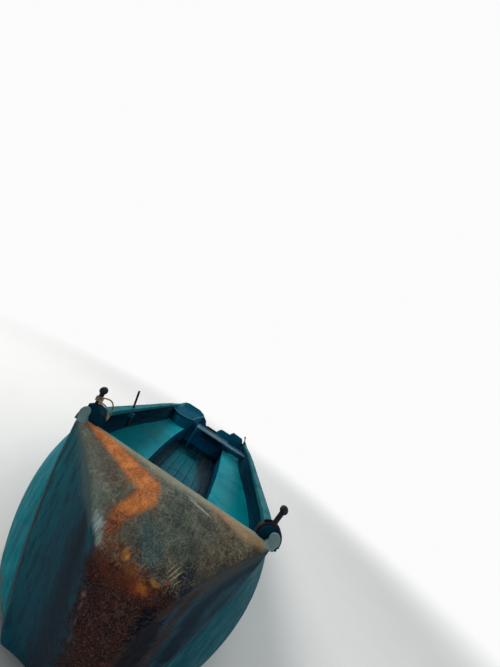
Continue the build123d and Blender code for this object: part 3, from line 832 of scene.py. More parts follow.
    def paint(self) -> Material:
        """Lay all the layers.

        Returns:
            The finished bow surface.
        """
        tint, ragged, grit, dust = self.tint, self.ragged, self.grit, self.dust
        high = self.plus(self.plus(self.field("upward"), self.swing(ragged, 1.1)), self.swing(grit, 0.4))
        top = self.step(high, -0.06, 0.62)
        brown = self.larger(self.patch("umber", 0.3), self.patch("umber_top", 0.4, 2.0))
        brown = self.larger(brown, self.patch("umber_port", 0.8, amount=0.7))
        low = self.step(self.axis("Z"), 1.03, 0.94)
        worn_through = self.times(low, self.step(ragged, 0.50, 0.38))
        orange = self.times(self.patch("ochre", 0.42, 1.7, 0.94), self.level(worn_through, 1.0, 0.35))
        chalky = self.times(self.patch("chalk", 0.7, 2.6), self.step(self.downhill, 0.38, 0.56))
        busy = self.larger(top, self.times(brown, 0.7))
        strands = self.strands(self.larger(top, self.times(brown, 0.22)))
        colour = self.coats(
            self.panels(),
            (top, self.apron()),
            (self.patch("apron_shade", 0.8, 1.4, 0.6), tint.warm_dark),
            (self.patch("apron_port", 0.5, 1.2, 0.85),
             self.blend(self.step(ragged, 0.36, 0.62), tint.olive_dark, tint.warm_dark)),
            (self.patch("crease_pale", 0.9, 2.4, 0.5), tint.crease),
            (self.patch("crease_rub", 0.6, amount=0.65), tint.umber),
            (brown, self.brown()),
            # Painted shade, partly: near-black indigo on the stem's port flank.
            (self.patch("indigo", 0.35), tint.indigo),
            (self.patch("slate", 0.5, amount=0.75), tint.navy),
            (self.patch("glow", 0.8, 3.4, 0.4), tint.rust),
            (self.patch("tongue", 0.8, 2.6, 0.8),
             self.blend(self.step(grit, 0.42, 0.6), tint.umber, tint.rust)),
            (self.patch("halo", 0.9, 2.4, 0.36),
             self.blend(self.step(ragged, 0.4, 0.62), tint.rust, tint.warm)),
            (orange, self.orange(low)),
            *((self.spot(spot, grit), spot.colour) for spot in BOW_SPOTS),
            (self.times(chalky, 0.8), tint.chalk),
            (self.times(self.times(self.step(dust, 0.44, 0.36), busy), 0.6), tint.pit),
            (self.times(self.times(self.step(dust, 0.6, 0.7), busy), 0.34), PALE_FIBRE),
            (strands, PALE_FIBRE),
        )
        mask = self.larger(brown, orange)
        gloss = self.level(top, self.level(self.streak, 0.42, 0.66), 0.66)
        gloss = self.level(mask, gloss, self.level(grit, 0.5, 0.85))
        relief = self.weigh(
            (ragged, 0.55), (grit, 0.35), (strands, 0.35), (self.fine_streak, 0.12), (mask, -0.2),
        )
        return self.finish(colour, gloss, relief, 0.0034, specular=0.04)


@dataclass(frozen=True)
class HullFinish:
    """Chalked teal topsides with upright streaks; darker inside, scraped low down."""

    name: str = "hull_chalked_teal"
    teal: Colour = linear(0, 130, 142)
    pale: Colour = linear(24, 124, 134)
    dark: Colour = linear(0, 98, 112)
    slate: Colour = linear(12, 58, 72)
    slate_pale: Colour = linear(40, 84, 94)
    scrape: Colour = linear(76, 72, 64)
    inside: Colour = linear(0, 50, 68)
    inside_dark: Colour = linear(0, 26, 44)
    inside_pale: Colour = linear(6, 74, 88)

    def make(self) -> Material:
        """Build the material.

        Returns:
            The finished topside paint.
        """
        bench = NodeBench(self.name)
        streak = bench.streaks((22.0, 22.0, 1.5), 7.0, 0.68)
        fine_streak = bench.streaks((80.0, 80.0, 4.0), 5.0, 0.65)
        along = bench.streaks((20.0, 1.2, 20.0), 6.0, 0.65)
        ragged = bench.clouds(13.0, 8.0, 0.66, warp=0.4)
        grit = bench.clouds(80.0, 5.0, 0.6)
        high, side = bench.axis("Z"), bench.axis("X")
        upper = bench.plus(high, bench.swing(bench.clouds(1.4), 0.9))
        lower = bench.plus(high, bench.swing(ragged, 0.5))
        near_bow = bench.times(bench.step(side, 0.1, 0.4), bench.step(bench.axis("Y"), -0.9, -2.1))
        cheek = bench.blend(bench.step(streak, 0.4, 0.68), self.slate, self.slate_pale)
        chips = bench.step(bench.weigh((ragged, 0.7), (grit, 0.3)), 0.63, 0.66)
        outer = bench.coats(
            self.dark,
            (bench.step(streak, 0.36, 0.66), self.teal),
            (bench.step(upper, 0.45, 1.05, 0.7), self.pale),
            (bench.step(fine_streak, 0.58, 0.74, 0.5), self.pale),
            (bench.times(near_bow, 0.8), cheek),
            (bench.step(lower, 0.22, 0.06, 0.8), self.scrape),
            (bench.times(chips, 0.8), self.scrape),
        )
        inner = bench.coats(
            self.inside_dark,
            (bench.step(along, 0.34, 0.66), self.inside),
            (bench.step(ragged, 0.55, 0.75, 0.4), self.inside_pale),
            (bench.step(fine_streak, 0.60, 0.74, 0.3), self.inside_pale),
        )
        outward = bench.times(bench.facing("X"), bench.sums("SIGN", side))
        colour = bench.coats(
            inner,
            (bench.step(outward, -0.3, -0.1), outer),
            (bench.step(bench.facing("Z"), 0.6, 0.8), inner),
        )
        gloss = bench.level(bench.step(ragged, 0.35, 0.7), 0.55, 0.8)
        relief = bench.weigh((streak, 0.45), (grit, 0.3), (chips, -0.4))
        return bench.finish(colour, gloss, relief, 0.0022, specular=0.05)


# Dark of the well's floor: painted shadow where the walls, the cross plank and the bow shade it, mixed with
# mud.
WELL_SHADOW_AND_MUD = linear(4, 24, 38)
# Painted shadow on the cross plank's top, aft of its pale front edge.
PLANK_PAINTED_SHADOW = linear(8, 44, 58)
# A paint's colours are new, faded, stained and worn through; its five numbers are how much it is faded,
# stained and worn, and its roughness where smooth and where rough.
FINISHES = {
    "bow": BowFinish(),
    "hull": HullFinish(),
    "bench": PaintFinish(
        "bench_gloss_teal", linear(0, 112, 126), linear(4, 132, 142), linear(0, 70, 86), linear(70, 104, 100),
        Grain.ALONG, 0.7, 0.6, 0.3, 0.45, 0.65, shine=0.04, spots=(
            Spot((-740, 260, 400), (170, 160, 60), linear(52, 96, 92), 0.4, jag=2.4, soft=0.7),
            Spot((-800, 850, 400), (140, 300, 60), linear(30, 104, 104), 0.4, jag=2.4, soft=0.7),
            Spot((-600, -1900, 400), (400, 600, 60), linear(6, 66, 84), 0.5, jag=1.6, soft=0.6),
        ),
    ),
    "bench_edge": PaintFinish(
        "bench_edge_worn",
        linear(14, 116, 126), linear(70, 128, 130), linear(2, 66, 80), linear(100, 104, 92),
        Grain.ALONG, 0.8, 0.6, 0.9, 0.35, 0.7,
    ),
    "seat": PaintFinish(
        "seat_teal", linear(0, 58, 80), linear(0, 74, 94), linear(0, 38, 58), linear(36, 72, 80),
        Grain.ALONG, 0.6, 0.6, 0.2, 0.45, 0.7, shine=0.02,
    ),
    "seat_rim": PaintFinish(
        "seat_rim_teal", linear(4, 88, 104), linear(30, 108, 120), linear(0, 54, 72), linear(76, 98, 98),
        Grain.NONE, 0.7, 0.5, 0.5, 0.35, 0.6,
    ),
    "inner": PaintFinish(
        "inner_dark_teal", linear(0, 66, 92), linear(0, 84, 110), linear(0, 36, 60), linear(48, 86, 98),
        Grain.ALONG, 0.6, 0.9, 0.2, 0.35, 0.65,
        (Spot((8, 1900, 343), (45, 20, 10), linear(70, 104, 116), 0.8),),
    ),
    "bulkhead": PaintFinish(
        "bulkhead_navy_teal", linear(0, 80, 118), linear(0, 94, 130), linear(0, 56, 88), linear(60, 100, 116),
        Grain.UPRIGHT, 0.6, 0.8, 0.1, 0.4, 0.7,
        (Spot((8, 1900, 343), (45, 20, 10), linear(78, 110, 122), 0.85),),
    ),
    "inner_edge": PaintFinish(
        "inner_edge_worn", linear(8, 80, 96), linear(40, 98, 106), linear(0, 42, 58), linear(84, 92, 86),
        Grain.ALONG, 0.8, 0.6, 0.8, 0.4, 0.7,
    ),
    "gunwale": PaintFinish(
        "gunwale_pale_teal", linear(8, 86, 96), linear(38, 104, 112), linear(0, 56, 68), linear(80, 88, 80),
        Grain.ALONG, 0.9, 0.6, 0.5, 0.5, 0.75, shine=0.03,
    ),
    "gunwale_edge": PaintFinish(
        "gunwale_edge_worn",
        linear(48, 108, 114), linear(84, 124, 126), linear(20, 66, 76), linear(92, 92, 80),
        Grain.ALONG, 0.9, 0.5, 1.0, 0.5, 0.8, shine=0.03,
    ),
    "plank": PaintFinish(
        "plank_grey_teal",
        linear(46, 88, 104), linear(86, 114, 126), linear(12, 50, 66), linear(104, 106, 98),
        Grain.ACROSS, 0.9, 0.6, 0.6, 0.5, 0.75, shine=0.04, spots=(
            # Painted shadow over the aft part of the plank's top.
            Spot((200, 1860, 576), (620, 110, 50), PLANK_PAINTED_SHADOW, 0.9, jag=1.0, soft=0.3),
            Spot((700, 1700, 576), (260, 70, 50), PLANK_PAINTED_SHADOW, 0.85, jag=1.0, soft=0.3),
        ),
    ),
    "floor": PaintFinish(
        "floor_deep_teal", linear(0, 72, 84), linear(0, 86, 96), linear(0, 40, 56), linear(34, 54, 58),
        Grain.ALONG, 0.8, 1.0, 0.5, 0.35, 0.65,
        # Painted shadow and mud: the floor darkened under the cross plank, along both side walls and at the
        # fore end, and a dark grey patch to port aft.
        (
            Spot((20, 1750, 140), (560, 640, 200), WELL_SHADOW_AND_MUD, 0.95, soft=0.3),
            Spot((340, 1100, 140), (210, 750, 200), linear(24, 26, 34), 0.9, soft=0.35),
            Spot((420, 300, 140), (130, 1200, 200), WELL_SHADOW_AND_MUD, 0.85),
            Spot((-440, 600, 140), (110, 1600, 200), WELL_SHADOW_AND_MUD, 0.8),
            Spot((0, -1900, 140), (600, 1000, 200), WELL_SHADOW_AND_MUD, 0.85),
        ),
    ),
    "pale": PaintFinish(
        "lip_pale_fibre",
        linear(72, 104, 108), linear(104, 126, 126), linear(38, 66, 72), linear(104, 94, 74),
        Grain.NONE, 0.8, 0.8, 0.7, 0.45, 0.75,
    ),
    # The ear's near-black navy is partly its paint and partly painted shade for the hollow under the curled
    # ear.
    "ear": PaintFinish(
        "ear_navy_teal", linear(0, 24, 44), linear(0, 50, 66), linear(0, 8, 24), linear(34, 62, 70),
        Grain.ACROSS, 0.8, 0.8, 0.3, 0.5, 0.75, shine=0.02,
    ),
    "wood": WoodFinish("bare_wood_grey", linear(104, 88, 72), linear(54, 42, 36)),
    "pad": WoodFinish("pad_brown_wood", linear(58, 38, 40), linear(30, 18, 24), Grain.ACROSS),
    "iron": IronFinish("iron_black", linear(18, 20, 30), linear(46, 32, 32)),
    "rubber": RubberFinish("hose_black", linear(12, 16, 26), linear(46, 58, 68)),
    "rope": RopeFinish("rope_tan", linear(158, 142, 118), linear(84, 74, 64)),
}


class PaintShop:
    """Every finish of the boat, made once."""

    def __init__(self) -> None:
        """Mix the finishes."""
        self.mixed = {key: finish.make() for key, finish in FINISHES.items()}

    def __getitem__(self, key: str) -> Material:
        """A finish by its short name."""
        return self.mixed[key]


class Workshop:
    """Ways of making meshes that several sub-assemblies share."""

    @staticmethod
    def only(piece: Piece) -> None:
        """Deselect everything, then select one piece and make it active.

        Args:
            piece: the piece to work on.
        """
        bpy.ops.object.select_all(action="DESELECT")
        piece.select_set(True)
        bpy.context.view_layer.objects.active = piece

    @staticmethod
    def show(name: str, data: bpy.types.ID) -> Piece:
        """Put new data into the scene under a name.

        Args:
            name: the object's name.
            data: its mesh, curve, lamp or camera.

        Returns:
            The object.
        """
        piece = bpy.data.objects.new(name, data)
        bpy.context.scene.collection.objects.link(piece)
        return piece

    @staticmethod
    def copy_node(node: str, name: str) -> Piece:
        """Copy a CAD node's mesh into a new merged piece.

        Args:
            node: the CAD node.
            name: the new piece's name.

        Returns:
            The new piece, selected.
        """
        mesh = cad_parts[node].data.copy()
        mesh.name = name
        mesh.materials.clear()
        piece = Workshop.show(name, mesh)
        Workshop.only(piece)
        if mesh.has_custom_normals:
            bpy.ops.mesh.customdata_custom_splitnormals_clear()
        bpy.ops.object.mode_set(mode="EDIT")
        bpy.ops.mesh.select_all(action="SELECT")
        bpy.ops.mesh.remove_doubles(threshold=MERGE_GAP)
        bpy.ops.object.mode_set(mode="OBJECT")
        return piece

    @staticmethod
    def block(name: str, middle: Point, size: Point) -> Piece:
        """Start a piece as a block, to be worked further.

        Args:
            name: the piece's name.
            middle: the block's middle.
            size: its width on each axis.

        Returns:
            The piece, in edit mode with nothing selected.
        """
        bpy.ops.object.select_all(action="DESELECT")
        bpy.ops.mesh.primitive_cube_add(size=1.0, location=middle, scale=size)
        piece = bpy.context.active_object
        piece.name = piece.data.name = name
        Workshop.only(piece)
        bpy.ops.object.transform_apply(location=True, rotation=True, scale=True)
        bpy.ops.object.mode_set(mode="EDIT")
        bpy.ops.mesh.select_all(action="DESELECT")
        return piece

    @staticmethod
    def apply(piece: Piece, kind: str, **settings: object) -> None:
        """Add one modifier and apply it.

        Args:
            piece: the piece to change.
            kind: the modifier's type.
            **settings: the modifier's own values.
        """
        Workshop.only(piece)
        modifier = piece.modifiers.new(kind.lower(), kind)
        for key, value in settings.items():
            setattr(modifier, key, value)
        bpy.ops.object.modifier_apply(modifier=modifier.name)

    @staticmethod
    def round_edges(piece: Piece, width: float, segments: int, degrees: float, **settings: object) -> None:
        """Bevel the edges where a piece turns by more than an angle.

        Args:
            piece: the piece to change.
            width: how wide the rounding is.
            segments: how many faces it has.
            degrees: the angle.
            **settings: further values of the bevel.
        """
        limit = {"limit_method": "ANGLE", "angle_limit": math.radians(degrees)}
        Workshop.apply(piece, "BEVEL", width=width, segments=segments, **limit, **settings)

    @staticmethod
    def smooth(piece: Piece, degrees: float) -> None:
        """Shade a piece smooth where its faces meet at less than an angle."""
        Workshop.only(piece)
        bpy.ops.object.shade_smooth_by_angle(angle=math.radians(degrees))

    @staticmethod
    def hand_over(piece: Piece, slot: Slot, nodes: Sequence[str] = ()) -> None:
        """Let a finished piece ride on the boat and stand for its nodes.

        Args:
            piece: the finished piece.
            slot: the record's slot for its finish; not used.
            nodes: CAD nodes that it stands for.
        """
        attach(piece, BODY)
        if nodes:
            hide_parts(*nodes)
        LOG.info("%s: %d faces", piece.name, len(piece.data.polygons))


@dataclass
class BowShell:
    """The resin skin over the bow block, with its relief and the places of wear and painted shade stored on
    it.
    """

    shop: PaintShop
    cell: float = 0.0090
    lumps: float = 0.0024
    grain: float = 0.0008
    lump_scale: float = 9.0
    grain_scale: float = 60.0
    smoothing: int = 4
    rolling: int = 26
    crease_reach: float = 1.5
    shading: float = 60.0

    def build(self) -> Piece:
        """Remesh the bow block finely and work its surface.

        Returns:
            The shell.
        """
        shell = Workshop.copy_node("bow_block", "bow_shell")
        shell.data.remesh_voxel_size = self.cell
        shell.data.remesh_voxel_adaptivity = 0.0
        bpy.ops.object.voxel_remesh()
        Workshop.apply(shell, "SMOOTH", factor=0.5, iterations=self.smoothing)
        group = shell.vertex_groups.new(name=CREASES.name)
        for index, away in enumerate(CREASES.measure(self.places(shell.data))):
            if away < self.crease_reach:
                group.add([index], min(1.0, self.crease_reach - away), "REPLACE")
        Workshop.apply(shell, "SMOOTH", factor=0.5, iterations=self.rolling, vertex_group=CREASES.name)
        shell.vertex_groups.clear()
        self.roughen(shell.data)
        self.mark(shell.data)
        return shell

    def roughen(self, mesh: bpy.types.Mesh) -> None:
        """Sink the surface by low lumps and a fine grain, and keep it inside the CAD box.

        Args:
            mesh: the shell's mesh.
        """
        low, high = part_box("bow_block")
        for vertex in mesh.vertices:
            place = vertex.co
            lump = noise.fractal(place * self.lump_scale, 0.9, 2.1, 4)
            fine = noise.fractal(place * self.grain_scale, 1.0, 2.0, 2)
            inward = self.lumps * (0.5 - 0.5 * lump) + self.grain * (0.5 - 0.5 * fine)
            moved = place - vertex.normal * max(0.0, inward)
            vertex.co = Vector(min(max(moved[i], low[i]), high[i]) for i in range(3))
        mesh.update()

    @staticmethod
    def places(mesh: bpy.types.Mesh) -> list[float]:
        """Read the points' coordinates, one after another.

        Args:
            mesh: the mesh.

        Returns:
            Three numbers for each point.
        """
        places = [0.0] * (3 * len(mesh.vertices))
        mesh.vertices.foreach_get("co", places)
        return places

    def mark(self, mesh: bpy.types.Mesh) -> None:
        """Store on each point how far it lies from every patch, and how much it faces up.

        Args:
            mesh: the shell's mesh.
        """
        places = self.places(mesh)
        values = {patch.name: patch.measure(places) for patch in BOW_PATCHES}
        values["upward"] = [vertex.normal.z for vertex in mesh.vertices]
        for name, numbers in values.items():
            mesh.attributes.new(name, "FLOAT", "POINT").data.foreach_set("value", numbers)

    def make(self) -> None:
        """Build the shell, dress it and let it stand for the bow block."""
        shell = self.build()
        shell.data.materials.append(self.shop["bow"])
        Workshop.smooth(shell, self.shading)
        Workshop.hand_over(shell, Slot.BOW, ["bow_block"])


@dataclass
class CornerLips:
    """The pale lips in which the bow's top curls up against the two ears."""

    shop: PaintShop
    middle_x: tuple[float, float] = (0.640, -0.627)
    half_width: tuple[float, float] = (0.032, 0.029)
    back_y: float = -2.4020
    thick: float = 0.022
    foot_z: float = 1.074
    top_z: float = 1.1525
    foot_reach: float = 0.024
    foot_tuck: float = 0.030
    foot_spread: float = 0.022
    cuts: tuple[float, float] = (0.22, 0.45)
    shoulder: float = 0.6
    head: float = 0.97
    near: float = 0.002
    edge: float = 0.005
    edge_degrees: float = 50.0
    shading: float = 60.0

    def build(self, number: int, name: str) -> Piece:
        """Shape one lip from a block: round head, leaning face and spreading foot.

        Args:
            number: 0 for port, 1 for starboard.
            name: the lip's name.

        Returns:
            The lip.
        """
        half, middle = self.half_width[number], self.middle_x[number]
        height = self.top_z - self.foot_z
        centre = (middle, self.back_y - self.thick / 2, self.foot_z + height / 2)
        lip = Workshop.block(name, centre, (2 * half, self.thick, height))
        bpy.ops.mesh.select_mode(type="EDGE")
        work = bmesh.from_edit_mesh(lip.data)
        for edge in work.edges:
            high = all(abs(vertex.co.z - self.top_z) < LEVEL_GAP for vertex in edge.verts)
            run = edge.verts[0].co - edge.verts[1].co
            edge.select_set(high and abs(run.y) > self.thick / 2)
        bmesh.update_edit_mesh(lip.data)
        bpy.ops.mesh.bevel(offset=half * self.head, segments=8, profile=0.5, affect="EDGES")
        for share in self.cuts:
            bpy.ops.mesh.select_all(action="SELECT")
            bpy.ops.mesh.bisect(
                plane_co=(0.0, 0.0, self.foot_z + height * share), plane_no=(0.0, 0.0, 1.0),
                use_fill=False, clear_inner=False, clear_outer=False,
            )
        bpy.ops.mesh.select_mode(type="VERT")
        waist = self.cuts[0]
        for reach, share in ((-self.foot_reach, 0.0), (-self.foot_reach * 0.3, waist)):
            level = self.foot_z + height * share
            self.push(lip, (0.0, reach, 0.0), lambda co: abs(co.z - level) < self.near and self.front(co))
        shoulder_z = self.foot_z + height * self.shoulder
        self.push(lip, (0.0, self.thick * 0.25, 0.0), lambda co: co.z > shoulder_z and self.front(co))
        inward = -math.copysign(1.0, middle)
        for share, shift in ((0.0, self.foot_tuck), (waist, self.foot_tuck * 0.45)):
            level = self.foot_z + height * share
            self.push(
                lip, (inward * shift, 0.0, 0.0),
                lambda co: abs(co.z - level) < self.near and abs(co.x) > abs(middle),
            )
            self.push(
                lip, (inward * self.foot_spread * (1.0 - share * 2), 0.0, 0.0),
                lambda co: abs(co.z - level) < self.near and abs(co.x) < abs(middle) - half * 0.6,
            )
        bpy.ops.object.mode_set(mode="OBJECT")
        return lip

    def front(self, place: Vector) -> bool:
        """Say whether a point is on the lip's face towards the stem."""
        return place.y < self.back_y - self.thick * 0.6

    @staticmethod
    def push(piece: Piece, way: Point, chosen: Callable[[Vector], bool]) -> None:
        """Move chosen points in edit mode.

        Args:
            piece: the piece, in edit mode.
            way: how far they move.
            chosen: says whether a point moves.
        """
        bpy.ops.mesh.select_all(action="DESELECT")
        work = bmesh.from_edit_mesh(piece.data)
        for vertex in work.verts:
            vertex.select_set(chosen(vertex.co))
        work.select_flush(True)
        bmesh.update_edit_mesh(piece.data)
        bpy.ops.transform.translate(value=way)

    def make(self) -> None:
        """Build and dress both lips."""
        for number, node in enumerate(("bow_lip_port", "bow_lip_starboard")):
            lip = self.build(number, node + "_dressed")
            lip.data.materials.append(self.shop["pale"])
            Workshop.round_edges(lip, self.edge, 3, self.edge_degrees)
            Workshop.smooth(lip, self.shading)
            Workshop.hand_over(lip, Slot.GUNWALE, [node])


@dataclass
class SternTrim:
    """The light cleat behind the corner seat, along the transom's inner face."""

    shop: PaintShop
    from_x: float = -0.930
    to_x: float = -0.330
    face_y: float = 2.7640
    thick: float = 0.020
    low_z: float = 0.612
    tall: float = 0.022
    border: float = 0.004
    crown: Point = (0.0, 0.002, 0.003)
    edge: float = 0.003
    edge_degrees: float = 40.0

    def make(self) -> None:
        """Build and dress the cleat."""
        middle = ((self.from_x + self.to_x) / 2, self.face_y - self.thick / 2, self.low_z + self.tall / 2)
        cleat = Workshop.block("transom_cleat", middle, (self.to_x - self.from_x, self.thick, self.tall))
        bpy.ops.mesh.select_mode(type="FACE")
        work = bmesh.from_edit_mesh(cleat.data)
        for face in work.faces:
            face.select_set(face.normal.z > 0.9)
        bmesh.update_edit_mesh(cleat.data)
        bpy.ops.mesh.inset(thickness=self.border, depth=0.0)
        bpy.ops.mesh.extrude_region_move(TRANSFORM_OT_translate={"value": self.crown})
        bpy.ops.object.mode_set(mode="OBJECT")
        Workshop.round_edges(cleat, self.edge, 2, self.edge_degrees)
        cleat.data.materials.append(self.shop["seat_rim"])
        Workshop.smooth(cleat, self.edge_degrees)
        Workshop.hand_over(cleat, Slot.BENCH)


@dataclass(frozen=True)
class BoardPlan:
    """How one board or painted piece is finished: its edge rounding and its finishes."""

    node: str
    edge: float
    face: str
    rim: str
    slot: Slot
    rim_width: float = 0.0
    rim_height: float = 0.0
    swell: float = 1.0
    ends_at: float = 0.0
    aft_face: str = ""


BOARD_PLANS = (
    BoardPlan("bench_fore_port", 0.006, "bench", "bench_edge", Slot.BENCH),
    BoardPlan("bench_aft_port", 0.006, "bench", "bench_edge", Slot.BENCH),
    BoardPlan("bench_fore_starboard", 0.006, "bench", "bench_edge", Slot.BENCH),
    BoardPlan("bench_strip_starboard", 0.003, "bench", "bench_edge", Slot.BENCH),
    BoardPlan("bench_aft_starboard", 0.006, "bench", "bench_edge", Slot.BENCH),
    BoardPlan("locker_front_port", 0.003, "inner", "inner_edge", Slot.INNER),
    BoardPlan("locker_front_starboard", 0.003, "inner", "inner_edge", Slot.INNER),
    BoardPlan("floorboards", 0.003, "floor", "inner_edge", Slot.BENCH),
    BoardPlan("aft_bulkhead", 0.004, "bulkhead", "inner_edge", Slot.INNER),
    BoardPlan("cross_plank", 0.004, "plank", "gunwale_edge", Slot.GUNWALE),
    BoardPlan("well_post", 0.005, "inner", "inner_edge", Slot.INNER),
    BoardPlan("transom", 0.007, "inner", "gunwale_edge", Slot.INNER, aft_face="hull"),
    BoardPlan("transom_pad", 0.004, "pad", "pad", Slot.WOOD),
    BoardPlan("corner_seat", 0.006, "seat", "seat_rim", Slot.BENCH, rim_width=0.030, rim_height=0.004),
    BoardPlan("seat_wall", 0.003, "inner", "inner_edge", Slot.INNER),
    BoardPlan("gunwale_port", 0.007, "gunwale", "gunwale_edge", Slot.GUNWALE),
    BoardPlan("gunwale_starboard", 0.007, "gunwale", "gunwale_edge", Slot.GUNWALE),
    BoardPlan("bow_ear_port", 0.009, "ear", "ear", Slot.INNER),
    # Painted shade: the starboard ear is swollen so that its dark navy also covers the shaded hollow behind
    # it.
    BoardPlan("bow_ear_starboard", 0.012, "ear", "ear", Slot.INNER, swell=1.10, ends_at=-0.641),
    BoardPlan("chafing_band_port", 0.004, "rubber", "rubber", Slot.RUBBER),
    BoardPlan("thole_eye", 0.005, "inner", "inner_edge", Slot.INNER),
)


@dataclass
class PaintedBoards:
    """Benches, lockers, floor, stern boards, gunwale caps and bow corner blocks, with worn round edges."""

    shop: PaintShop
    flat_degrees: float = 1.2
    edge_degrees: float = 38.0
    shading: float = 42.0

    def build(self, plan: BoardPlan) -> Piece:
        """Copy a node, merge its flat faces and round its edges.

        Args:
            plan: what to make.

        Returns:
            The board.
        """
        board = Workshop.copy_node(plan.node, plan.node + "_dressed")
        for finish in (plan.face, plan.rim, plan.aft_face):
            if finish:
                board.data.materials.append(self.shop[finish])
        if plan.aft_face:
            for face in board.data.polygons:
                if face.normal.y > 0.8:
                    face.material_index = 2
        bpy.ops.object.mode_set(mode="EDIT")
        bpy.ops.mesh.select_all(action="SELECT")
        bpy.ops.mesh.dissolve_limited(angle_limit=math.radians(self.flat_degrees))
        if plan.rim_height > 0:
            self.raise_rim(board, plan)
        if plan.swell > 1:
            low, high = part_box(plan.node)
            end = (low[0], (low[1] + high[1]) / 2, low[2])
            bpy.ops.transform.resize(value=(plan.swell, 1.0, 1.0), center_override=end)
            bpy.ops.mesh.bisect(
                plane_co=(plan.ends_at, 0.0, 0.0), plane_no=(1.0, 0.0, 0.0), use_fill=True, clear_inner=True,
            )
        bpy.ops.object.mode_set(mode="OBJECT")
        Workshop.round_edges(board, plan.edge, 3, self.edge_degrees, material=1, use_clamp_overlap=True)
        return board

    @staticmethod
    def raise_rim(board: Piece, plan: BoardPlan) -> None:
        """Sink the top inside its border, so that a rim of its own finish stands round it.

        Args:
            board: the board, in edit mode.
            plan: its plan, with the rim's width and height.
        """
        bpy.ops.mesh.select_mode(type="FACE")
        bpy.ops.mesh.select_all(action="DESELECT")
        work = bmesh.from_edit_mesh(board.data)
        top = max(vertex.co.z for vertex in work.verts)
        for face in work.faces:
            if all(abs(vertex.co.z - top) < LEVEL_GAP for vertex in face.verts):
                face.select_set(True)
        bmesh.update_edit_mesh(board.data)
        bpy.ops.mesh.inset(thickness=plan.rim_width, depth=-plan.rim_height)
        work = bmesh.from_edit_mesh(board.data)
        sunk = top - plan.rim_height - LEVEL_GAP
        for face in work.faces:
            if not face.select and all(vertex.co.z > sunk for vertex in face.verts):
                face.material_index = 1
        bmesh.update_edit_mesh(board.data)

    def make(self) -> None:
        """Make every board of the plans and let it stand for its node."""
        for plan in BOARD_PLANS:
            board = self.build(plan)
            Workshop.smooth(board, self.shading)
            Workshop.hand_over(board, plan.slot, [plan.node])


CARRIED_NODES = {
    "hull": ("hull_side_port", "hull_side_starboard", "hull_bottom"),
    "wood": ("keel_strip", "runner_port", "runner_starboard", "floor_bearers"),
    "iron": ("bow_pin_port", "bow_pin_starboard", "thole_pin", "stern_post"),
}


@dataclass
class CarriedNodes:
    """CAD nodes whose shape stays, given better finishes."""

    shop: PaintShop

    def dress(self, node: str, finish: Material) -> None:
        """Assign a finish to a node's own material slots.

        Args:
            node: the node.
            finish: its finish.
        """
        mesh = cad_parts[node].data
        if not mesh.materials:
            mesh.materials.append(finish)
        for index in range(len(mesh.materials)):
            mesh.materials[index] = finish
        LOG.info("%s: finished in %s", node, finish.name)

    def make(self) -> None:
        """Dress every node of the table."""
        for key, nodes in CARRIED_NODES.items():
            for node in nodes:
                self.dress(node, self.shop[key])


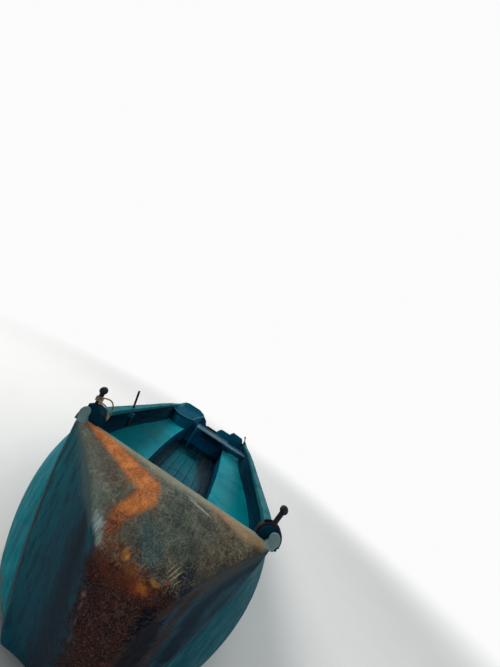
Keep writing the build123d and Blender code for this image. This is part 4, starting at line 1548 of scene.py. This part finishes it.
@dataclass
class Lashing:
    """Rope turned round the starboard pin's neck, with one bight hanging inboard and a knot."""

    shop: PaintShop
    diameter: float = 0.009
    pin_foot: Point = (-0.602, -2.368, 1.090)
    pin_head: Point = (-0.630, -2.368, 1.256)
    low: float = 1.1925
    radius: float = 0.0200
    pitch: float = 0.0092
    turns: int = 3
    start_degrees: float = 225.0
    points_per_turn: int = 12
    bight: tuple[Point, ...] = (
        (-0.574, -2.322, 1.224),
        (-0.548, -2.292, 1.186),
        (-0.540, -2.284, 1.128),
        (-0.531, -2.317, 1.106),
        (-0.522, -2.350, 1.126),
        (-0.532, -2.366, 1.174),
        (-0.568, -2.374, 1.198),
    )
    last: Point = (-0.5985, -2.3775, 1.1950)
    length: float = 0.735
    spacing: float = 0.0028
    lay: float = 0.030
    strand_share: float = 0.27
    strand_reach: float = 0.23
    sides: int = 8
    shading: float = 60.0
    knot_diameter: float = 0.0075
    knot_lay: float = 0.020
    knot_shift: Point = (-0.001, -0.0025, 0.001)
    knot_half: float = 0.0034
    knot_depth: float = 0.0040
    knot_points: int = 60

    def route(self) -> list[Vector]:
        """Control points of the whole rope, the coil first.

        Returns:
            The points in order.
        """
        foot, head = Vector(self.pin_foot), Vector(self.pin_head)
        axis = (head - foot).normalized()
        side = Vector((0.0, 1.0, 0.0))
        across = axis.cross(side).normalized()
        start = foot + axis * ((self.low - foot.z) / axis.z)
        points = []
        for step in range(self.turns * self.points_per_turn + 1):
            turn = 2 * math.pi * step / self.points_per_turn + math.radians(self.start_degrees)
            rise = self.pitch * step / self.points_per_turn
            points.append(
                start + axis * rise + (side * math.cos(turn) + across * math.sin(turn)) * self.radius
            )
        return points + [Vector(point) for point in self.bight] + [Vector(self.last)]

    def centreline(self) -> list[Vector]:
        """The rope's smooth line, read from its spline.

        Returns:
            Points close together along it.
        """
        curve = bpy.data.curves.new("rope_route", "CURVE")
        curve.dimensions = "3D"
        curve.resolution_u = 10
        spline = curve.splines.new("NURBS")
        points = self.route()
        spline.points.add(len(points) - 1)
        for target, point in zip(spline.points, points):
            target.co = (*point, 1.0)
        spline.order_u = 3
        spline.use_endpoint_u = True
        holder = Workshop.show("rope_route", curve)
        bpy.context.view_layer.update()
        mesh = bpy.data.meshes.new_from_object(holder.evaluated_get(bpy.context.evaluated_depsgraph_get()))
        line = [vertex.co.copy() for vertex in mesh.vertices]
        bpy.data.meshes.remove(mesh)
        bpy.data.objects.remove(holder)
        bpy.data.curves.remove(curve)
        return line

    @staticmethod
    def runs(line: Sequence[Vector]) -> list[float]:
        """How far along a line each of its points lies.

        Args:
            line: the line's points.

        Returns:
            The lengths, from 0.
        """
        lengths = [0.0]
        for first, second in zip(line, line[1:]):
            lengths.append(lengths[-1] + (second - first).length)
        return lengths

    def spaced(self, line: Sequence[Vector]) -> list[Vector]:
        """Points at even spacing along a line.

        Args:
            line: the line's points.

        Returns:
            The new points, the ends included.
        """
        lengths = self.runs(line)
        count = max(2, round(lengths[-1] / self.spacing))
        result = []
        index = 0
        for step in range(count + 1):
            want = lengths[-1] * step / count
            while index < len(line) - 2 and lengths[index + 1] < want:
                index += 1
            run = lengths[index + 1] - lengths[index]
            share = 0.0 if run < 1e-9 else (want - lengths[index]) / run
            result.append(line[index].lerp(line[index + 1], min(1.0, share)))
        return result

    def strands(self, line: Sequence[Vector], name: str, size: float, lay: float) -> Piece:
        """Three strands twisted along a line.

        Args:
            line: the rope's line.
            name: the piece's name.
            size: the rope's diameter.
            lay: length of one full twist.

        Returns:
            The rope as one mesh.
        """
        strand, reach = size * self.strand_share, size * self.strand_reach
        along = [(second - first).normalized() for first, second in zip(line, line[1:])]
        along.append(along[-1])
        across = along[0].orthogonal().normalized()
        frames = []
        for direction in along:
            across = (across - direction * across.dot(direction)).normalized()
            frames.append((across.copy(), direction.cross(across)))
        mesh = bmesh.new()
        for number in range(3):
            rings = []
            for place, (one, two), run in zip(line, frames, self.runs(line)):
                turn = 2 * math.pi * (run / lay + number / 3)
                middle = place + (one * math.cos(turn) + two * math.sin(turn)) * reach
                ring = []
                for corner in range(self.sides):
                    angle = 2 * math.pi * corner / self.sides + turn
                    out = (one * math.cos(angle) + two * math.sin(angle)) * strand
                    ring.append(mesh.verts.new(middle + out))
                rings.append(ring)
            for first, second in zip(rings, rings[1:]):
                for corner in range(self.sides):
                    after = (corner + 1) % self.sides
                    mesh.faces.new((first[corner], first[after], second[after], second[corner]))
            mesh.faces.new(list(reversed(rings[0])))
            mesh.faces.new(rings[-1])
        bmesh.ops.recalc_face_normals(mesh, faces=mesh.faces)
        data = bpy.data.meshes.new(name)
        mesh.to_mesh(data)
        mesh.free()
        return Workshop.show(name, data)

    def knot(self) -> Piece:
        """The overhand knot where the bight comes back to the coil.

        Returns:
            The knot.
        """
        centre = Vector(self.last) + Vector(self.knot_shift)
        line = []
        for step in range(self.knot_points):
            turn = 2 * math.pi * step / (self.knot_points - 1)
            across = (math.sin(turn) + 2 * math.sin(2 * turn)) * self.knot_half
            through = -math.sin(3 * turn) * self.knot_depth
            up = (math.cos(turn) - 2 * math.cos(2 * turn)) * self.knot_half
            line.append(centre + Vector((across, through, up)))
        return self.strands(line, "lashing_knot", self.knot_diameter, self.knot_lay)

    def make(self) -> None:
        even = self.spaced(self.centreline())
        rope = self.strands(even, "lashing_rope", self.diameter, self.lay)
        knot = self.knot()
        for piece in (rope, knot):
            piece.data.materials.append(self.shop["rope"])
            Workshop.smooth(piece, self.shading)
        Workshop.hand_over(rope, Slot.ROPE, ["lashing_coil", "lashing_bight"])
        Workshop.hand_over(knot, Slot.ROPE)
        LOG.info("rope line: %.4f m", self.runs(even)[-1])


@dataclass
class Stage:
    """Pale floor, plain soft lamps and the white background."""

    floor_size: float = 160.0
    clear_from: float = 4.0
    clear_to: float = 7.5
    lamp_size: float = 5.0
    backdrop: float = 0.97
    daylight: float = 0.36
    sky: Colour = (0.93, 0.97, 1.0)
    cool: Colour = (0.95, 0.98, 1.0)
    warm: Colour = (1.0, 0.98, 0.95)

    def make(self) -> None:
        """Lay the floor and light the boat."""
        bpy.ops.object.select_all(action="DESELECT")
        bpy.ops.mesh.primitive_plane_add(size=self.floor_size, location=(0.0, 0.0, -0.001))
        floor = bpy.context.active_object
        floor.name = "studio_floor"
        floor.data.materials.append(self.floor_finish())
        self.world()
        self.lamp("key_lamp", (-6.0, 0.5, 7.5), (0.0, -1.2, 0.7), 680.0, self.warm)
        self.lamp("fill_lamp", (4.5, -6.5, 6.0), (0.0, -1.6, 0.7), 190.0, self.cool)
        self.lamp("back_lamp", (2.5, 7.5, 6.5), (0.0, 0.8, 0.5), 260.0, self.cool)

    def floor_finish(self) -> Material:
        """Pale floor that turns to plain white far from the boat.

        Returns:
            The floor's material.
        """
        bench = NodeBench("studio_floor_pale")
        grain = bench.clouds(3.0, 3.0)
        colour = bench.blend(grain, (0.68, 0.68, 0.67), (0.72, 0.72, 0.71))
        bench.finish(colour, 0.95, grain, 0.0002, specular=0.1)
        white = bench.node("Emission", {"Color": WHITE, "Strength": self.backdrop}).outputs["Emission"]
        path = bench.node("LightPath").outputs
        seen = bench.larger(path["Is Camera Ray"], path["Is Glossy Ray"])
        share = bench.times(bench.step(bench.length(bench.place), self.clear_from, self.clear_to), seen)
        mix = bench.node("MixShader", {0: share, 1: bench.shader.outputs["BSDF"], 2: white})
        bench.put(bench.output.inputs["Surface"], mix.outputs["Shader"])
        return bench.material

    def world(self) -> None:
        """Light evenly from all round, and show white behind the boat."""
        world = bpy.data.worlds.new("studio_world")
        bpy.context.scene.world = world
        world.use_nodes = True
        wiring = Wiring(world.node_tree)
        light = wiring.node("Background", {"Color": self.sky, "Strength": self.daylight})
        shown = wiring.node("Background", {"Color": WHITE, "Strength": self.backdrop})
        seen = wiring.node("LightPath").outputs["Is Camera Ray"]
        mix = wiring.node("MixShader", {0: seen, 1: light.outputs[0], 2: shown.outputs[0]})
        wiring.node("OutputWorld", {"Surface": mix.outputs[0]})

    def lamp(self, name: str, place: Point, target: Point, power: float, colour: Colour) -> None:
        """Hang one broad lamp.

        Args:
            name: the lamp's name.
            place: where it hangs.
            target: what it points at.
            power: its power.
            colour: its colour.
        """
        data = bpy.data.lights.new(name, "AREA")
        data.shape = "DISK"
        data.size = self.lamp_size
        data.energy = power
        data.color = colour
        lamp = Workshop.show(name, data)
        lamp.location = place
        lamp.rotation_euler = (Vector(target) - Vector(place)).to_track_quat("-Z", "Y").to_euler()


@dataclass
class Viewpoint:
    """The camera: in front of the stem at eye height, tipped up a little and rolled."""

    place: Point = (0.049, -3.950, 1.702)
    yaw: float = 4.236
    pitch: float = 11.51
    roll: float = 32.238
    focal_pixels: float = 250.0
    frame_height: int = 667
    sensor: float = 36.0

    def make(self) -> None:
        """Set the scene's camera."""
        yaw, pitch, roll = (math.radians(value) for value in (self.yaw, self.pitch, self.roll))
        level = Vector((-math.sin(yaw), math.cos(yaw), 0.0))
        right = Vector((math.cos(yaw), math.sin(yaw), 0.0))
        above = Vector((0.0, 0.0, 1.0))
        ahead = level * math.cos(pitch) + above * math.sin(pitch)
        top = above * math.cos(pitch) - level * math.sin(pitch)
        side = right * math.cos(roll) + top * math.sin(roll)
        crown = -right * math.sin(roll) + top * math.cos(roll)
        matrix = Matrix((side, crown, -ahead)).transposed().to_4x4()
        matrix.translation = Vector(self.place)
        data = bpy.data.cameras.new("viewpoint")
        data.sensor_fit = "AUTO"
        data.sensor_width = self.sensor
        data.lens = self.focal_pixels / self.frame_height * self.sensor
        data.clip_start = 0.01
        data.clip_end = 200.0
        camera = Workshop.show("viewpoint", data)
        camera.matrix_world = matrix
        bpy.context.scene.camera = camera


def numbers(bounds: Iterable[Vector]) -> list[list[float]]:
    """Corners as plain lists of numbers."""
    return [[float(value) for value in corner] for corner in bounds]


def main() -> None:
    """Build and dress the boat, then set its stage and its camera."""
    logging.basicConfig(level=logging.INFO, format="%(relativeCreated)8.0f ms %(name)s %(message)s")
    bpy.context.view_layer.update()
    Viewpoint().make()
    shop = PaintShop()
    for assembly in (Lashing, CornerLips, PaintedBoards, SternTrim, CarriedNodes, BowShell):
        assembly(shop).make()
    Stage().make()
    bpy.context.scene.view_settings.view_transform = "Standard"
    bpy.context.view_layer.update()


if __name__ == "__main__":
    main()
